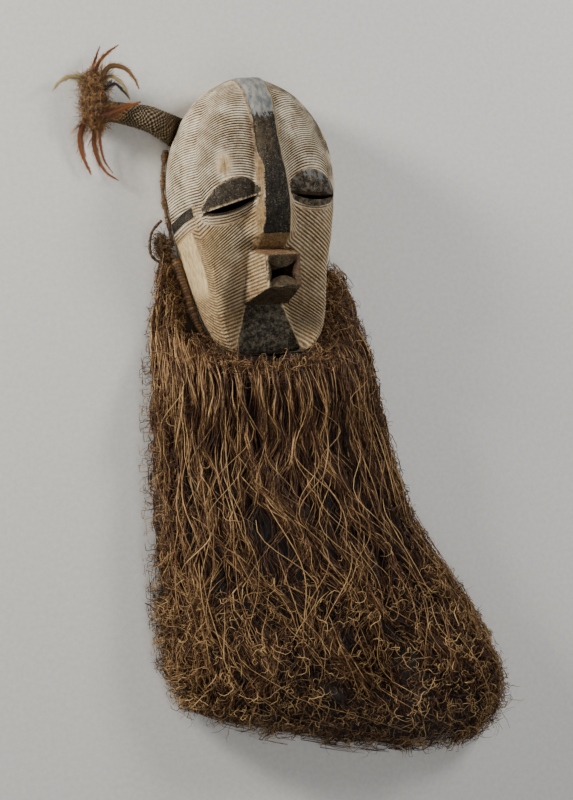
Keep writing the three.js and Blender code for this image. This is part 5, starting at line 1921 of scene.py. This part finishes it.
class MASK_OT_feathers(bpy.types.Operator):
    """Make the tuft and its ten feathers"""

    bl_idname = "mask.feathers"
    bl_label = "Tuft and feathers"

    def execute(self, context):
        _, colours = settings()
        feather_tuft(dry_fibre("matted down", colours.down_dark, colours.down, colours.down_light, 0.75))
        kinds = {kind: feather_barbs(f"cock's feather, {kind}", *shades)
                 for kind, shades in FEATHER_SHADES.items()}
        for count, (name, (width, kind, points)) in enumerate(FEATHERS.items()):
            feather(name, width, points, kinds[kind], 100 + count)
        return {"FINISHED"}


class MASK_OT_cords(bpy.types.Operator):
    """Wind the collar rope and tie the bark strips at the rim"""

    bl_idname = "mask.cords"
    bl_label = "Rope and cords"

    def execute(self, context):
        _, colours = settings()
        shades = colours.bark_dark, colours.bark, colours.bark_light
        bark = dry_fibre("stripped bark, wound and tied", *shades, 0.7)
        collar_rope(bark)
        rim_cord(bark)
        bark_loop(bark)
        wad_and_fray(bark)
        return {"FINISHED"}


class MASK_OT_raffia(bpy.types.Operator):
    """Hang the raffia beard: core, long strands, ruff, hem and strays"""

    bl_idname = "mask.raffia"
    bl_label = "Raffia beard"

    def execute(self, context):
        sizes, colours = settings()
        width = sizes.strand_width / MM
        shades = colours.raffia_dark, colours.raffia, colours.raffia_light
        raffia = dry_fibre("raffia, dried and browned with age", *shades, 0.62)
        raffia_core(raffia)
        for part in (1, 2, 3):
            hanging_strands(f"raffia_strands_{part}", 50 + 10 * part, sizes.strands, width, raffia)
        raffia_tangle(55, sizes.tangle, width, raffia)
        raffia_ruff(sizes.ruff, width, raffia)
        for part in (1, 2):
            raffia_hem(f"raffia_hem_{part}", 70 + 10 * part, sizes.hem, width, raffia)
        raffia_strays(width, raffia)
        return {"FINISHED"}


class MASK_OT_stage(bpy.types.Operator):
    """Set the camera, the lights and the floor"""

    bl_idname = "mask.stage"
    bl_label = "Stage"

    def execute(self, context):
        _, colours = settings()
        set_stage(matt_paper(colours))
        return {"FINISHED"}


class MASK_PT_parts(bpy.types.Panel):
    """Lists the mask's parts, in the order in which they are made"""

    bl_idname = "MASK_PT_parts"
    bl_label = "Kifwebe mask"
    bl_space_type = "VIEW_3D"
    bl_region_type = "UI"
    bl_category = "Mask"

    def draw(self, context):
        for operator in OPERATORS:
            self.layout.operator(operator.bl_idname)
        for group in settings():
            box = self.layout.box()
            for name in group.__annotations__:
                box.prop(group, name)


OPERATORS = (
    MASK_OT_carved_face, MASK_OT_netted_tube, MASK_OT_feathers, MASK_OT_cords, MASK_OT_raffia, MASK_OT_stage,
)
CLASSES = (MaskSizes, MaskColours, *OPERATORS, MASK_PT_parts)


def register():
    """Adds the classes to Blender, and the settings to the scene."""
    for shown in CLASSES:
        bpy.utils.register_class(shown)
    bpy.types.Scene.mask_sizes = PointerProperty(type=MaskSizes)
    bpy.types.Scene.mask_colours = PointerProperty(type=MaskColours)


def unregister():
    """Takes the settings and the classes out again, in the opposite order."""
    del bpy.types.Scene.mask_sizes, bpy.types.Scene.mask_colours
    for shown in reversed(CLASSES):
        bpy.utils.unregister_class(shown)


def main():
    """Makes every part in order."""
    register()
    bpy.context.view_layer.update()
    bpy.ops.mask.carved_face()
    bpy.ops.mask.netted_tube()
    bpy.ops.mask.feathers()
    bpy.ops.mask.cords()
    bpy.ops.mask.raffia()
    bpy.ops.mask.stage()


if __name__ == "__main__":
    main()
